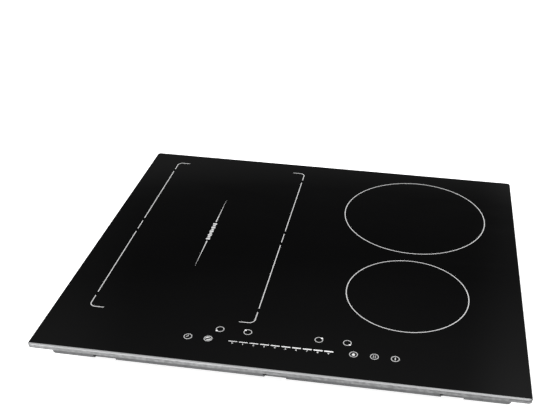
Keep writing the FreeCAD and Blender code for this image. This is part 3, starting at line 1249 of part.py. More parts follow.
def build_nodes():
    nodes = {
        "glass_panel": glass_panel(),
        "front_trim": front_trim(),
        "glass_adhesive": glass_adhesive(),
        "worktop_seal": worktop_seal(),
        "case_tray": case_tray(),
        "lower_pan": lower_pan(),
        "case_screws": case_screws(),
        "clamp_screws": clamp_screws(),
        "clamp_sleeves": clamp_sleeves(),
        "terminal_box": terminal_box(),
        "terminal_cover": terminal_cover(),
        "terminal_block": terminal_block(),
        "terminal_screws": terminal_screws(),
        "cable_inlet": cable_inlet(),
        "fan_screws": fan_screws(),
        "power_semiconductors": power_semiconductors(),
        "resonance_capacitors": resonance_capacitors(),
        "relays": relays(),
        "buffer_chokes": buffer_chokes(),
        "filter_board": filter_board(),
        "filter_choke": filter_choke(),
        "supply_board": supply_board(),
        "board_screws": board_screws(),
        "coil_plate_screws": coil_plate_screws(),
        "ferrite_bars": ferrite_bars(),
        "mica_sheets": mica_sheets(),
        "temperature_sensors": temperature_sensors(),
        "support_springs": support_springs(),
        "coil_leads": coil_leads(),
        "touch_board": touch_board(),
        "touch_springs": touch_springs(),
        "touch_carrier": touch_carrier(),
        "slider_light_guide": slider_light_guide(),
        "control_ribbon": control_ribbon(),
    }
    for name, (x, y, heading) in CLAMP_PLACES.items():
        nodes[name] = clamp(x, y, heading)
    for name, (x, y) in fan_places().items():
        nodes["fan_housing_" + name] = fan_housing(x, y)
        nodes["fan_rotor_" + name] = fan_rotor(x, y)
    for name, side in MODULE_SIDES.items():
        nodes["electronics_tray_" + name] = electronics_tray(side)
        nodes["power_board_" + name] = power_board(side)
        nodes["heat_sink_" + name] = heat_sink(side)
        nodes["air_duct_" + name] = air_duct(side)
        nodes["coil_plate_" + name] = coil_plate(side)
    for name in COILS:
        nodes["coil_former_" + name] = coil_former(name)
        nodes["coil_winding_" + name] = coil_winding(name)
    return nodes


def main():
    os.makedirs("parts", exist_ok=True)
    for name, shape in build_nodes().items():
        shape.exportStep(os.path.join("parts", name + ".step"))
        print(name, "solids", len(shape.Solids), "valid", shape.isValid(), "volume", round(shape.Volume))


main()
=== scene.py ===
"""Finishes, printed marks and studio for a built-in induction cooktop, laid out as an add-on.

Lengths are metres in the packed model's frame: +X to the right, +Y to the back, +Z up through the glass.
"""

import json
import math

import bmesh
import bpy
from mathutils import Matrix, Vector


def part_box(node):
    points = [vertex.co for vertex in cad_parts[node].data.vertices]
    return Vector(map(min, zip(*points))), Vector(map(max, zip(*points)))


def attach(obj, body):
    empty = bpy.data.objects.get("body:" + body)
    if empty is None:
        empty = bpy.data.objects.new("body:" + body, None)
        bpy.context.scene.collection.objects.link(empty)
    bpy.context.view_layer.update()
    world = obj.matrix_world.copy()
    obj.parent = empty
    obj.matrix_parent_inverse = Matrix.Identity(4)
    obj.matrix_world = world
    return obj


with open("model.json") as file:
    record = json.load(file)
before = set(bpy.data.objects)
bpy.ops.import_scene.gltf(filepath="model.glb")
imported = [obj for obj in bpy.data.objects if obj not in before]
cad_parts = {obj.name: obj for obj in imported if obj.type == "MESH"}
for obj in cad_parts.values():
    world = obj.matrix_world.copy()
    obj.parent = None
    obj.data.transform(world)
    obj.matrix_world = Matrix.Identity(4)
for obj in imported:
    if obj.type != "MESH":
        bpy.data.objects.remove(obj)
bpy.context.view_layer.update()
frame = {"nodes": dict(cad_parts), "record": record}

bl_info = {
    "name": "Induction cooktop finishes",
    "version": (1, 0, 0),
    "blender": (4, 5, 0),
    "location": "3D View > Sidebar > Cooktop",
    "description": "Printed zones, touch marks, sheet steel details and finishes for a cooktop",
    "category": "Object",
}

FULL_TURN = 2 * math.pi
CASE = "case"

ZONE_KEYS = ((-0.0773, 225), (-0.0427, 135), (0.0447, 45), (0.0793, 315))  # X, and the bearing of the dot
TIMER_X, BRIDGE_X, LOCK_X, PAUSE_X, POWER_X = -0.1121, -0.0872, 0.0889, 0.1137, 0.1384
# X of the dark dabs that stand as painted shade in the tray's relief holes.
HOLE_SHADE_X = (-0.2210, -0.0130, 0.1950)
MARK_GAP = 0.0030
TAPER_WIDE = 0.0016
TAPER_FINE = 0.0001
MARK_BLOCKS = 9

GLASS_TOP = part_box("glass_panel")[1].z
PAN_LOW, PAN_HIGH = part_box("lower_pan")
TRIM_LOW, TRIM_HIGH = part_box("front_trim")
TRAY_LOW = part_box("case_tray")[0]


def centre_of(node):
    low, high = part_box(node)
    return (low + high) / 2


REAR_RIGHT = centre_of("coil_winding_rear_right")
FRONT_RIGHT = centre_of("coil_winding_front_right")
FLEX = (centre_of("coil_winding_front_left") + centre_of("coil_winding_rear_left")) / 2


# ---------------------------------------------------------------- settings

class CooktopZoneSettings(bpy.types.PropertyGroup):
    """The printed cooking zones."""
    large_radius: bpy.props.FloatProperty(
        name="Large zone radius", description="Radius of the rear right zone's printed ring",
        default=0.105, min=0.05, max=0.14, unit="LENGTH")
    small_radius: bpy.props.FloatProperty(
        name="Small zone radius", description="Radius of the front right zone's printed ring",
        default=0.080, min=0.05, max=0.14, unit="LENGTH")
    line: bpy.props.FloatProperty(
        name="Line width", description="Width of the printed zone lines",
        default=0.0012, min=0.0005, max=0.004, unit="LENGTH")
    flex_half_width: bpy.props.FloatProperty(
        name="Flexible zone half width", description="From the flexible zone's middle to its side lines",
        default=0.1058, min=0.06, max=0.12, unit="LENGTH")
    flex_half_length: bpy.props.FloatProperty(
        name="Flexible zone half length", description="From the flexible zone's middle to its end lines",
        default=0.2025, min=0.1, max=0.23, unit="LENGTH")
    bracket_radius: bpy.props.FloatProperty(
        name="Bracket radius", description="Corner radius of the flexible zone's brackets",
        default=0.0075, min=0.001, max=0.02, unit="LENGTH")
    bracket_arm: bpy.props.FloatProperty(
        name="Bracket arm", description="Length of a bracket's arms along the sides",
        default=0.0230, min=0.01, max=0.05, unit="LENGTH")
    bracket_foot: bpy.props.FloatProperty(
        name="Bracket foot", description="Length of a bracket's arms along the ends",
        default=0.0190, min=0.01, max=0.05, unit="LENGTH")
    flex_offset: bpy.props.FloatProperty(
        name="Flexible zone offset",
        description="How far the flexible zone's print stands right of its coils",
        default=0.0008, min=-0.01, max=0.01, unit="LENGTH")
    dash_gap: bpy.props.FloatProperty(
        name="Dash gap", description="Gap between the dashes of the flexible zone's sides",
        default=0.0078, min=0.002, max=0.02, unit="LENGTH")
    short_dash: bpy.props.FloatProperty(
        name="Short dash", description="Length of the dash in the middle of each side",
        default=0.0230, min=0.005, max=0.05, unit="LENGTH")
    mark_length: bpy.props.FloatProperty(
        name="Centre mark length", description="Length of the centre mark's row of blocks",
        default=0.0470, min=0.01, max=0.1, unit="LENGTH")
    mark_width: bpy.props.FloatProperty(
        name="Centre mark width", description="Width of the centre mark's widest blocks",
        default=0.0056, min=0.002, max=0.02, unit="LENGTH")
    taper_length: bpy.props.FloatProperty(
        name="Fine line length", description="Length of the tapered lines at the centre mark's ends",
        default=0.0665, min=0.01, max=0.1, unit="LENGTH")
    print_thickness: bpy.props.FloatProperty(
        name="Print thickness", description="Thickness of the fired enamel print",
        default=0.00005, min=0.00001, max=0.0005, unit="LENGTH")


class CooktopControlSettings(bpy.types.PropertyGroup):
    """The printed touch controls along the front edge."""
    back_row: bpy.props.FloatProperty(
        name="Back row", description="From the front edge to the row of zone keys",
        default=0.0666, min=0.02, max=0.1, unit="LENGTH")
    front_row: bpy.props.FloatProperty(
        name="Front row", description="From the front edge to the row of symbols",
        default=0.0465, min=0.02, max=0.1, unit="LENGTH")
    key_radius: bpy.props.FloatProperty(
        name="Key radius", description="Outer radius of the printed key rings",
        default=0.0052, min=0.003, max=0.01, unit="LENGTH")
    key_line: bpy.props.FloatProperty(
        name="Key line", description="Width of the printed key rings",
        default=0.0010, min=0.0004, max=0.002, unit="LENGTH")
    dot_radius: bpy.props.FloatProperty(
        name="Dot radius", description="Radius of the bright dot that says which zone a key is for",
        default=0.0014, min=0.0005, max=0.003, unit="LENGTH")
    slider_pitch: bpy.props.FloatProperty(
        name="Slider pitch", description="From one step of the slider to the next",
        default=0.0129, min=0.005, max=0.02, unit="LENGTH")
    slider_bar: bpy.props.FloatProperty(
        name="Slider bar length", description="Length of each bar of the slider",
        default=0.0108, min=0.004, max=0.015, unit="LENGTH")
    slider_middle: bpy.props.FloatProperty(
        name="Slider middle", description="Middle of the slider, from the cooktop's centre line",
        default=0.0013, min=-0.05, max=0.05, unit="LENGTH")
    slider_thin: bpy.props.FloatProperty(
        name="Lowest bar", description="Height of the bar at the lowest step",
        default=0.0011, min=0.0005, max=0.005, unit="LENGTH")
    slider_thick: bpy.props.FloatProperty(
        name="Highest bar", description="Height of the bar at the highest step",
        default=0.0022, min=0.0005, max=0.006, unit="LENGTH")
    digit_size: bpy.props.FloatProperty(
        name="Digit size", description="Size of the digits below the slider",
        default=0.0044, min=0.002, max=0.01, unit="LENGTH")
    steps: bpy.props.IntProperty(
        name="Slider steps", description="Number of bars and digits", default=10, min=2, max=12)


class CooktopFinishSettings(bpy.types.PropertyGroup):
    """Colours of the finishes that a user would change."""
    glass: bpy.props.FloatVectorProperty(
        name="Glass", description="Colour of the glass top", subtype="COLOR", size=3,
        default=(0.0012, 0.0012, 0.0013), min=0, max=1)
    enamel: bpy.props.FloatVectorProperty(
        name="Print", description="Colour of the printed marks", subtype="COLOR", size=3,
        default=(0.68, 0.68, 0.68), min=0, max=1)
    bright_enamel: bpy.props.FloatVectorProperty(
        name="Bright print", description="Colour of the brightest marks", subtype="COLOR", size=3,
        default=(0.93, 0.93, 0.93), min=0, max=1)
    trim: bpy.props.FloatVectorProperty(
        name="Trim", description="Colour of the satin front trim", subtype="COLOR", size=3,
        default=(0.27, 0.272, 0.275), min=0, max=1)
    steel: bpy.props.FloatVectorProperty(
        name="Case steel", description="Colour of the zinc-coated case", subtype="COLOR", size=3,
        default=(0.165, 0.167, 0.170), min=0, max=1)


class CooktopStageSettings(bpy.types.PropertyGroup):
    """Camera, floor and light."""
    camera_place: bpy.props.FloatVectorProperty(
        name="Camera place", description="Where the camera stands", subtype="XYZ", unit="LENGTH", size=3,
        default=(0.1392, -0.9700, 0.6910))
    heading: bpy.props.FloatProperty(
        name="Heading", description="Turn of the view from straight back towards the left",
        default=math.radians(6.778), subtype="ANGLE")
    tilt: bpy.props.FloatProperty(
        name="Tilt", description="How far the view looks down", default=math.radians(33.361), subtype="ANGLE")
    roll: bpy.props.FloatProperty(
        name="Roll", description="Turn of the picture about the line of sight",
        default=math.radians(1.911), subtype="ANGLE")
    lens: bpy.props.FloatProperty(
        name="Lens", description="Focal length on a 36 mm sensor, in millimetres",
        default=55.53, min=10, max=200)
    shift_x: bpy.props.FloatProperty(
        name="Shift X", description="Sideways shift of the lens", default=-0.1022, min=-0.5, max=0.5)
    shift_y: bpy.props.FloatProperty(
        name="Shift Y", description="Upward shift of the lens", default=0.1030, min=-0.5, max=0.5)
    floor_glow: bpy.props.FloatProperty(
        name="Floor glow", description="Light that the lit sweep of the studio gives by itself",
        default=0.88, min=0, max=2)
    key_power: bpy.props.FloatProperty(
        name="Key light", description="Strength of the broad soft light from the front left",
        default=1.7, min=0, max=20)
    back_power: bpy.props.FloatProperty(
        name="Back light", description="Strength of the low soft light from behind",
        default=0.9, min=0, max=20)


# ---------------------------------------------------------------- finishes

class Finish:
    """A procedural material whose patterns follow Object coordinates."""

    def __init__(self, name, metallic=0.0, ior=1.45, coat=0.0, anisotropic=0.0):
        self.material = bpy.data.materials.new(name)
        self.material.use_nodes = True
        self.nodes = self.material.node_tree.nodes
        self.links = self.material.node_tree.links
        self.shader = self.nodes["Principled BSDF"]
        self.shader.inputs["Metallic"].default_value = metallic
        self.shader.inputs["IOR"].default_value = ior
        self.shader.inputs["Coat Weight"].default_value = coat
        self.shader.inputs["Anisotropic"].default_value = anisotropic
        self.place = self.nodes.new("ShaderNodeTexCoord").outputs["Object"]
        self.normal = None

    def stretched(self, stretch, offset=(0, 0, 0), turn=0.0):
        mapping = self.nodes.new("ShaderNodeMapping")
        mapping.inputs["Scale"].default_value = stretch
        mapping.inputs["Location"].default_value = offset
        mapping.inputs["Rotation"].default_value = (0, 0, turn)
        self.links.new(self.place, mapping.inputs["Vector"])
        return mapping.outputs["Vector"]

    def noise(self, scale, detail=4.0, roughness=0.55, stretch=None, distortion=0.0):
        node = self.nodes.new("ShaderNodeTexNoise")
        node.inputs["Scale"].default_value = scale
        node.inputs["Detail"].default_value = detail
        node.inputs["Roughness"].default_value = roughness
        node.inputs["Distortion"].default_value = distortion
        self.links.new(self.stretched(stretch) if stretch else self.place, node.inputs["Vector"])
        return node.outputs["Fac"]

    def cells(self, scale, feature="F1", output="Distance", stretch=None, randomness=1.0):
        node = self.nodes.new("ShaderNodeTexVoronoi")
        node.feature = feature
        node.inputs["Scale"].default_value = scale
        node.inputs["Randomness"].default_value = randomness
        self.links.new(self.stretched(stretch) if stretch else self.place, node.inputs["Vector"])
        return node.outputs[output]

    def along(self, axis, low, high, start, end):
        """A value that runs from low at start to high at end along an axis of the model."""
        split = self.nodes.new("ShaderNodeSeparateXYZ")
        self.links.new(self.place, split.inputs["Vector"])
        return self.range(split.outputs[axis], low, high, start, end)

    def range(self, source, low, high, start=0.3, end=0.7):
        node = self.nodes.new("ShaderNodeMapRange")
        node.inputs["From Min"].default_value = start
        node.inputs["From Max"].default_value = end
        node.inputs["To Min"].default_value = low
        node.inputs["To Max"].default_value = high
        self.links.new(source, node.inputs["Value"])
        return node.outputs["Result"]

    def calc(self, operation, *values):
        node = self.nodes.new("ShaderNodeMath")
        node.operation = operation
        for socket, value in zip(node.inputs, values):
            if isinstance(value, (int, float)):
                socket.default_value = value
            else:
                self.links.new(value, socket)
        return node.outputs["Value"]

    def mix(self, factor, a, b):
        node = self.nodes.new("ShaderNodeMix")
        node.data_type = "RGBA"
        self.links.new(factor, node.inputs["Factor"])
        for socket, value in ((node.inputs[6], a), (node.inputs[7], b)):
            if isinstance(value, bpy.types.NodeSocket):
                self.links.new(value, socket)
            else:
                socket.default_value = (*value, 1.0)
        return node.outputs[2]

    def colour(self, source):
        self.links.new(source, self.shader.inputs["Base Color"])

    def roughness(self, source):
        self.links.new(source, self.shader.inputs["Roughness"])

    def relief(self, source, depth, strength=1.0):
        """Raises the surface by a pattern from 0 to 1, depth metres high."""
        node = self.nodes.new("ShaderNodeBump")
        node.inputs["Strength"].default_value = strength
        node.inputs["Distance"].default_value = depth
        self.links.new(source, node.inputs["Height"])
        if self.normal:
            self.links.new(self.normal, node.inputs["Normal"])
        self.normal = node.outputs["Normal"]
        self.links.new(self.normal, self.shader.inputs["Normal"])


def shade(colour, factor):
    return tuple(min(1.0, channel * factor) for channel in colour)


def black_glass(colour):
    """Gloss glass-ceramic, with faint wipe marks in its polish."""
    finish = Finish("black_glass_ceramic", ior=1.5)
    cloud = finish.noise(6.0, detail=3.0)
    finish.colour(finish.mix(finish.range(cloud, 0, 1), shade(colour, 0.85), shade(colour, 1.15)))
    wipes = finish.noise(9.0, detail=6.0, stretch=(1.0, 3.5, 1.0), distortion=0.6)
    grain = finish.noise(900.0, detail=2.0)
    polish = finish.calc("ADD", finish.range(wipes, 0.045, 0.085), finish.range(grain, 0.0, 0.012))
    finish.roughness(polish)
    finish.relief(finish.noise(3.0, detail=1.0), 0.00003)
    return finish.material


def printed_enamel(name, colour):
    """Fired screen print: a slightly grainy matt layer."""
    finish = Finish(name, ior=1.5)
    dots = finish.cells(2600.0, randomness=0.35)
    patches = finish.noise(90.0, detail=3.0)
    fleck = finish.calc("ADD", finish.range(dots, 0.0, 0.35, 0.15, 0.6), finish.range(patches, 0.0, 0.65))
    finish.colour(finish.mix(fleck, shade(colour, 1.05), shade(colour, 0.86)))
    finish.roughness(finish.range(patches, 0.38, 0.58))
    finish.relief(dots, 0.00001)
    return finish.material


def slider_enamel(dim, bright, start_x, end_x):
    """Print that grows brighter from the lowest step to the highest."""
    finish = Finish("slider_print", ior=1.5)
    share = finish.along("X", 0.0, 1.0, start_x, end_x)
    dots = finish.cells(2600.0, randomness=0.35)
    grain = finish.calc("SUBTRACT", share, finish.range(dots, 0.0, 0.12, 0.15, 0.6))
    finish.colour(finish.mix(grain, dim, bright))
    finish.roughness(finish.range(finish.noise(90.0), 0.38, 0.58))
    finish.relief(dots, 0.00001)
    return finish.material


def satin_trim(colour):
    """Anodised extrusion, brushed along its length, with small rubs along it. Its colour is painted shade,
    lighter at the left end and darker at the right, and it carries a painted highlight along its top edge.
    """
    finish = Finish("satin_anodised_trim", metallic=0.5, anisotropic=0.3)
    brush = finish.noise(70.0, detail=8.0, roughness=0.7, stretch=(1.0, 60.0, 60.0))
    cloud = finish.noise(14.0, detail=3.0)
    mottle = finish.noise(330.0, detail=3.0, stretch=(0.6, 1.0, 1.0))
    tone = finish.calc("MULTIPLY_ADD", finish.range(brush, 0, 1), 0.4,
                       finish.range(mottle, -0.1, 0.7, 0.38, 0.62))
    # Painted shade: a lighter copy of the colour at the left end fades to a darker copy at the right end.
    painted_lit_left = finish.mix(tone, shade(colour, 0.72), shade(colour, 1.14))
    painted_shaded_right = finish.mix(tone, shade(colour, 0.42), shade(colour, 0.76))
    body = finish.mix(finish.along("X", 0.0, 1.0, TRIM_LOW.x, TRIM_HIGH.x), painted_lit_left, painted_shaded_right)
    # Painted highlight: a thin band just under the top edge is painted far lighter than the rest of the trim.
    painted_highlight_band = finish.along("Z", 0.0, 1.0, TRIM_HIGH.z - 0.0007, TRIM_HIGH.z - 0.0003)
    finish.colour(finish.mix(painted_highlight_band, body, shade(colour, 1.75)))
    rub = finish.range(cloud, 0.44, 0.56)
    finish.roughness(finish.calc("ADD", rub, finish.range(brush, -0.04, 0.04)))
    finish.relief(brush, 0.000012)
    return finish.material


def zinc_sheet(name, colour, spangle=120.0):
    """Zinc-coated sheet: fine crystals, rolling lines, light handling scratches and dull patches, with
    painted shade that darkens it from left to right.
    """
    finish = Finish(name, metallic=1.0)
    crystal = finish.cells(spangle, output="Color")
    tone = finish.nodes.new("ShaderNodeRGBToBW")
    finish.links.new(crystal, tone.inputs["Color"])
    fine = finish.cells(spangle * 3.1, output="Distance")
    cloud = finish.noise(7.0, detail=5.0)
    scratches = finish.noise(40.0, detail=9.0, roughness=0.75, stretch=(1.0, 28.0, 1.0))
    shades = finish.calc("ADD", finish.range(tone.outputs["Val"], 0.0, 0.45, 0.2, 0.8),
                         finish.range(cloud, 0.0, 0.4))
    shades = finish.calc("ADD", shades, finish.range(scratches, 0.0, 0.15, 0.4, 0.7))
    # Painted shade: the sheet is painted darker from its left end to its right end.
    shades = finish.calc("SUBTRACT", shades, finish.along("X", 0.25, 0.95, PAN_LOW.x, PAN_HIGH.x))
    grain = finish.noise(300.0, detail=3.0)
    shades = finish.calc("ADD", shades, finish.range(grain, -0.25, 0.25, 0.38, 0.62))
    finish.colour(finish.mix(shades, shade(colour, 0.74), shade(colour, 1.18)))
    rough = finish.calc("ADD", finish.range(tone.outputs["Val"], 0.42, 0.58, 0.2, 0.8),
                        finish.range(cloud, -0.04, 0.08))
    finish.roughness(rough)
    finish.relief(fine, 0.000012)
    finish.relief(scratches, 0.000010)
    return finish.material


def plated_steel(name, colour, rough=(0.25, 0.42)):
    """Zinc-plated small parts with a slightly warm, uneven passivation."""
    finish = Finish(name, metallic=1.0)
    cloud = finish.noise(120.0, detail=4.0)
    warm = tuple(channel * tint for channel, tint in zip(colour, (1.08, 1.02, 0.88)))
    finish.colour(finish.mix(finish.range(cloud, 0, 1), shade(colour, 0.9), warm))
    grain = finish.noise(1500.0, detail=3.0, stretch=(1.0, 1.0, 6.0))
    finish.roughness(finish.calc("ADD", finish.range(cloud, *rough), finish.range(grain, -0.04, 0.04)))
    finish.relief(grain, 0.000008)
    return finish.material


def moulded_plastic(name, colour, texture=1400.0, rough=(0.42, 0.58), depth=0.00002):
    """Injection-moulded plastic with a fine spark-eroded skin and flow marks."""
    finish = Finish(name, ior=1.5)
    flow = finish.noise(18.0, detail=3.0, distortion=0.8)
    skin = finish.noise(texture, detail=2.0)
    finish.colour(finish.mix(finish.range(flow, 0, 1), shade(colour, 0.82), shade(colour, 1.2)))
    finish.roughness(finish.calc("ADD", finish.range(flow, *rough), finish.range(skin, -0.05, 0.05)))
    finish.relief(skin, depth)
    return finish.material


def cell_foam(colour):
    finish = Finish("closed_cell_foam", ior=1.4)
    cells = finish.cells(1300.0)
    cloud = finish.noise(60.0)
    finish.colour(finish.mix(finish.range(cells, 0, 1, 0.1, 0.6), shade(colour, 0.55), shade(colour, 1.3)))
    finish.roughness(finish.range(cloud, 0.82, 0.96))
    finish.relief(cells, 0.00012)
    return finish.material


def silicone_bead(name, colour, ior):
    finish = Finish(name, ior=ior)
    ripple = finish.noise(160.0, detail=3.0)
    finish.colour(finish.mix(finish.range(ripple, 0, 1), shade(colour, 0.8), shade(colour, 1.3)))
    finish.roughness(finish.range(ripple, 0.35, 0.5))
    finish.relief(ripple, 0.0001)
    return finish.material


def circuit_board():
    """Green solder mask over copper tracks, with pads that show through."""
    finish = Finish("solder_mask", ior=1.5, coat=0.3)
    tracks = finish.cells(130.0, feature="DISTANCE_TO_EDGE", randomness=0.8)
    track = finish.range(tracks, 1.0, 0.0, 0.02, 0.05)
    pads = finish.range(finish.cells(330.0, randomness=0.4), 1.0, 0.0, 0.10, 0.14)
    cloud = finish.noise(30.0)
    mask = finish.mix(finish.range(cloud, 0, 1), (0.008, 0.055, 0.022), (0.014, 0.085, 0.034))
    covered = finish.mix(track, mask, (0.03, 0.16, 0.06))
    finish.colour(finish.mix(pads, covered, (0.55, 0.50, 0.38)))
    finish.roughness(finish.range(cloud, 0.25, 0.4))
    finish.relief(track, 0.00003)
    return finish.material


def mill_aluminium(colour):
    finish = Finish("mill_aluminium", metallic=1.0)
    lines = finish.noise(60.0, detail=7.0, roughness=0.7, stretch=(40.0, 1.0, 1.0))
    cloud = finish.noise(20.0)
    finish.colour(finish.mix(finish.range(lines, 0, 1), shade(colour, 0.85), shade(colour, 1.12)))
    finish.roughness(finish.range(cloud, 0.28, 0.45))
    finish.relief(lines, 0.00001)
    return finish.material


def wound_copper(colour):
    """Enamelled stranded wire, seen as fine twisted bundles."""
    finish = Finish("enamelled_copper", metallic=1.0, coat=0.4)
    strands = finish.cells(700.0, stretch=(1.0, 1.0, 2.5))
    cloud = finish.noise(50.0)
    finish.colour(finish.mix(finish.range(strands, 0, 1, 0.1, 0.6), shade(colour, 0.5), shade(colour, 1.2)))
    finish.roughness(finish.range(cloud, 0.28, 0.42))
    finish.relief(strands, 0.0002)
    return finish.material


def brass_terminal(colour):
    finish = Finish("brass_terminals", metallic=1.0)
    tarnish = finish.noise(220.0, detail=4.0)
    finish.colour(finish.mix(finish.range(tarnish, 0, 1), shade(colour, 0.75), shade(colour, 1.15)))
    finish.roughness(finish.range(tarnish, 0.22, 0.4))
    finish.relief(tarnish, 0.00001)
    return finish.material


def mineral(name, colour, scale, rough, flake=1.0):
    """Ferrite, mica and sintered beads: a dry, speckled mineral body."""
    finish = Finish(name, ior=1.55)
    grains = finish.cells(scale, output="Color", stretch=(1.0, 1.0, flake))
    tone = finish.nodes.new("ShaderNodeRGBToBW")
    finish.links.new(grains, tone.inputs["Color"])
    finish.colour(finish.mix(tone.outputs["Val"], shade(colour, 0.7), shade(colour, 1.25)))
    finish.roughness(finish.range(tone.outputs["Val"], rough - 0.08, rough + 0.08))
    finish.relief(tone.outputs["Val"], 0.00003)
    return finish.material


def label_foil(colour):
    finish = Finish("label_foil", metallic=0.6)
    weave = finish.noise(500.0, detail=3.0, stretch=(1.0, 12.0, 1.0))
    finish.colour(finish.mix(finish.range(weave, 0, 1), shade(colour, 0.9), shade(colour, 1.08)))
    finish.roughness(finish.range(weave, 0.32, 0.46))
    finish.relief(weave, 0.00001)
    return finish.material


# ---------------------------------------------------------------- mesh helpers

def new_piece(name, mesh_builder, material, body=CASE):
    """Links a finished mesh as a piece that rides on a body, with its place in its mesh."""
    mesh = bpy.data.meshes.new(name)
    mesh_builder.to_mesh(mesh)
    mesh_builder.free()
    mesh.materials.append(material)
    piece = bpy.data.objects.new(name, mesh)
    bpy.context.scene.collection.objects.link(piece)
    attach(piece, body)
    return piece


def slab(bm, x, y, z, width, length, height, turn=0.0, corner=0.0, segments=4):
    """A plate centred on x and y that stands on z, with rounded upright corners."""
    place = Matrix.Translation((x, y, z + height / 2)) @ Matrix.Rotation(turn, 4, "Z")
    made = bmesh.ops.create_cube(bm, size=1.0, matrix=place @ Matrix.Diagonal((width, length, height, 1.0)))
    verts = made["verts"]
    if corner > 0:
        uprights = [edge for edge in {e for v in verts for e in v.link_edges}
                    if abs(edge.verts[0].co.z - edge.verts[1].co.z) > height * 0.5]
        bmesh.ops.bevel(bm, geom=uprights, offset=corner, offset_type="OFFSET", affect="EDGES",
                        segments=segments, profile=0.5, material=-1)
    return verts


def ring(bm, x, y, z, outer, line, height, steps=48, start=0.0, sweep=FULL_TURN):
    """A flat ring, or a stretch of one, spun from its rectangular section."""
    middle = outer - line / 2
    section = Matrix.Translation((x, y, z + height / 2)) @ Matrix.Rotation(start, 4, "Z")
    made = bmesh.ops.create_circle(bm, cap_ends=True, radius=math.sqrt(0.5), segments=4)
    square = made["verts"]
    upright = Matrix.Rotation(math.radians(90), 4, "X") @ Matrix.Rotation(math.radians(45), 4, "Z")
    size = Matrix.Diagonal((line, 1.0, height, 1.0))
    place = section @ Matrix.Translation((middle, 0, 0)) @ size @ upright
    bmesh.ops.transform(bm, matrix=place, verts=square)
    faces = list({face for vert in square for face in vert.link_faces})
    full = abs(sweep - FULL_TURN) < 1e-6
    geometry = square + list({edge for vert in square for edge in vert.link_edges}) + ([] if full else faces)
    if full:
        bmesh.ops.delete(bm, geom=faces, context="FACES_ONLY")
    bmesh.ops.spin(bm, geom=geometry, cent=(x, y, z), axis=(0, 0, 1), angle=sweep, steps=steps,
                   use_merge=full, use_duplicate=False)


def disc(bm, x, y, z, radius, height, segments=24):
    place = Matrix.Translation((x, y, z + height / 2))
    bmesh.ops.create_cone(bm, cap_ends=True, radius1=radius, radius2=radius, depth=height, segments=segments,
                          matrix=place)


def tapered_line(bm, x, wide_y, fine_y, z, wide, fine, height):
    """A bar along Y that narrows from one end to the other."""
    verts = slab(bm, x, (wide_y + fine_y) / 2, z, wide, abs(fine_y - wide_y), height)
    tip = [v for v in verts if abs(v.co.y - fine_y) < abs(v.co.y - wide_y)]
    bmesh.ops.scale(bm, vec=(fine / wide, 1, 1), space=Matrix.Translation((-x, 0, 0)), verts=tip)


def disc_segment(bm, x, y, z, radius, height, cut, side, tilt=0.0):
    """The part of a disc above (side 1) or below (side -1) a line, tilted from level."""
    across = Vector((-math.sin(tilt), math.cos(tilt), 0)) * side
    part = bmesh.new()
    disc(part, x, y, z, radius, height, segments=32)
    geometry = part.verts[:] + part.edges[:] + part.faces[:]
    bmesh.ops.bisect_plane(part, geom=geometry, plane_co=Vector((x, y, z)) + across * cut, plane_no=-across,
                           clear_outer=True)
    rims = [edge for edge in part.edges if edge.is_boundary]
    bmesh.ops.holes_fill(part, edges=rims)
    mesh = bpy.data.meshes.new("segment")
    part.to_mesh(mesh)
    part.free()
    bm.from_mesh(mesh)
    bpy.data.meshes.remove(mesh)


def digit(bm, text, x, y, z, size, height):
    """One printed numeral, centred on x and y."""
    curve = bpy.data.curves.new("numeral", "FONT")
    curve.body = text
    curve.size = size
    curve.extrude = height / 2
    curve.align_x = "CENTER"
    curve.align_y = "CENTER"
    holder = bpy.data.objects.new("numeral", curve)
    bpy.context.scene.collection.objects.link(holder)
    graph = bpy.context.evaluated_depsgraph_get()
    mesh = bpy.data.meshes.new_from_object(holder.evaluated_get(graph))
    mesh.transform(Matrix.Translation((x, y, z + height / 2)))
    bm.from_mesh(mesh)
    bpy.data.objects.remove(holder)
    bpy.data.curves.remove(curve)
    bpy.data.meshes.remove(mesh)


def tidy_normals(bm):
    bmesh.ops.remove_doubles(bm, verts=bm.verts, dist=1e-7)
    bmesh.ops.recalc_face_normals(bm, faces=bm.faces)


# ---------------------------------------------------------------- printed marks

def enamel_material(name, colour):
    found = bpy.data.materials.get(name)
    return found if found else printed_enamel(name, colour)


class COOKTOP_OT_round_zones(bpy.types.Operator):
    """Print the rings of the two round cooking zones"""
    bl_idname = "cooktop.round_zones"
    bl_label = "Round zones"

    def execute(self, context):
        zones = context.scene.cooktop_zones
        enamel = enamel_material("zone_print", context.scene.cooktop_finishes.enamel)
        for name, centre, radius in (("zone_ring_rear_right", REAR_RIGHT, zones.large_radius),
                                     ("zone_ring_front_right", FRONT_RIGHT, zones.small_radius)):
            bm = bmesh.new()
            ring(bm, centre.x, centre.y, GLASS_TOP, radius + zones.line / 2, zones.line,
                 zones.print_thickness, steps=180)
            tidy_normals(bm)
            new_piece(name, bm, enamel)
        return {"FINISHED"}


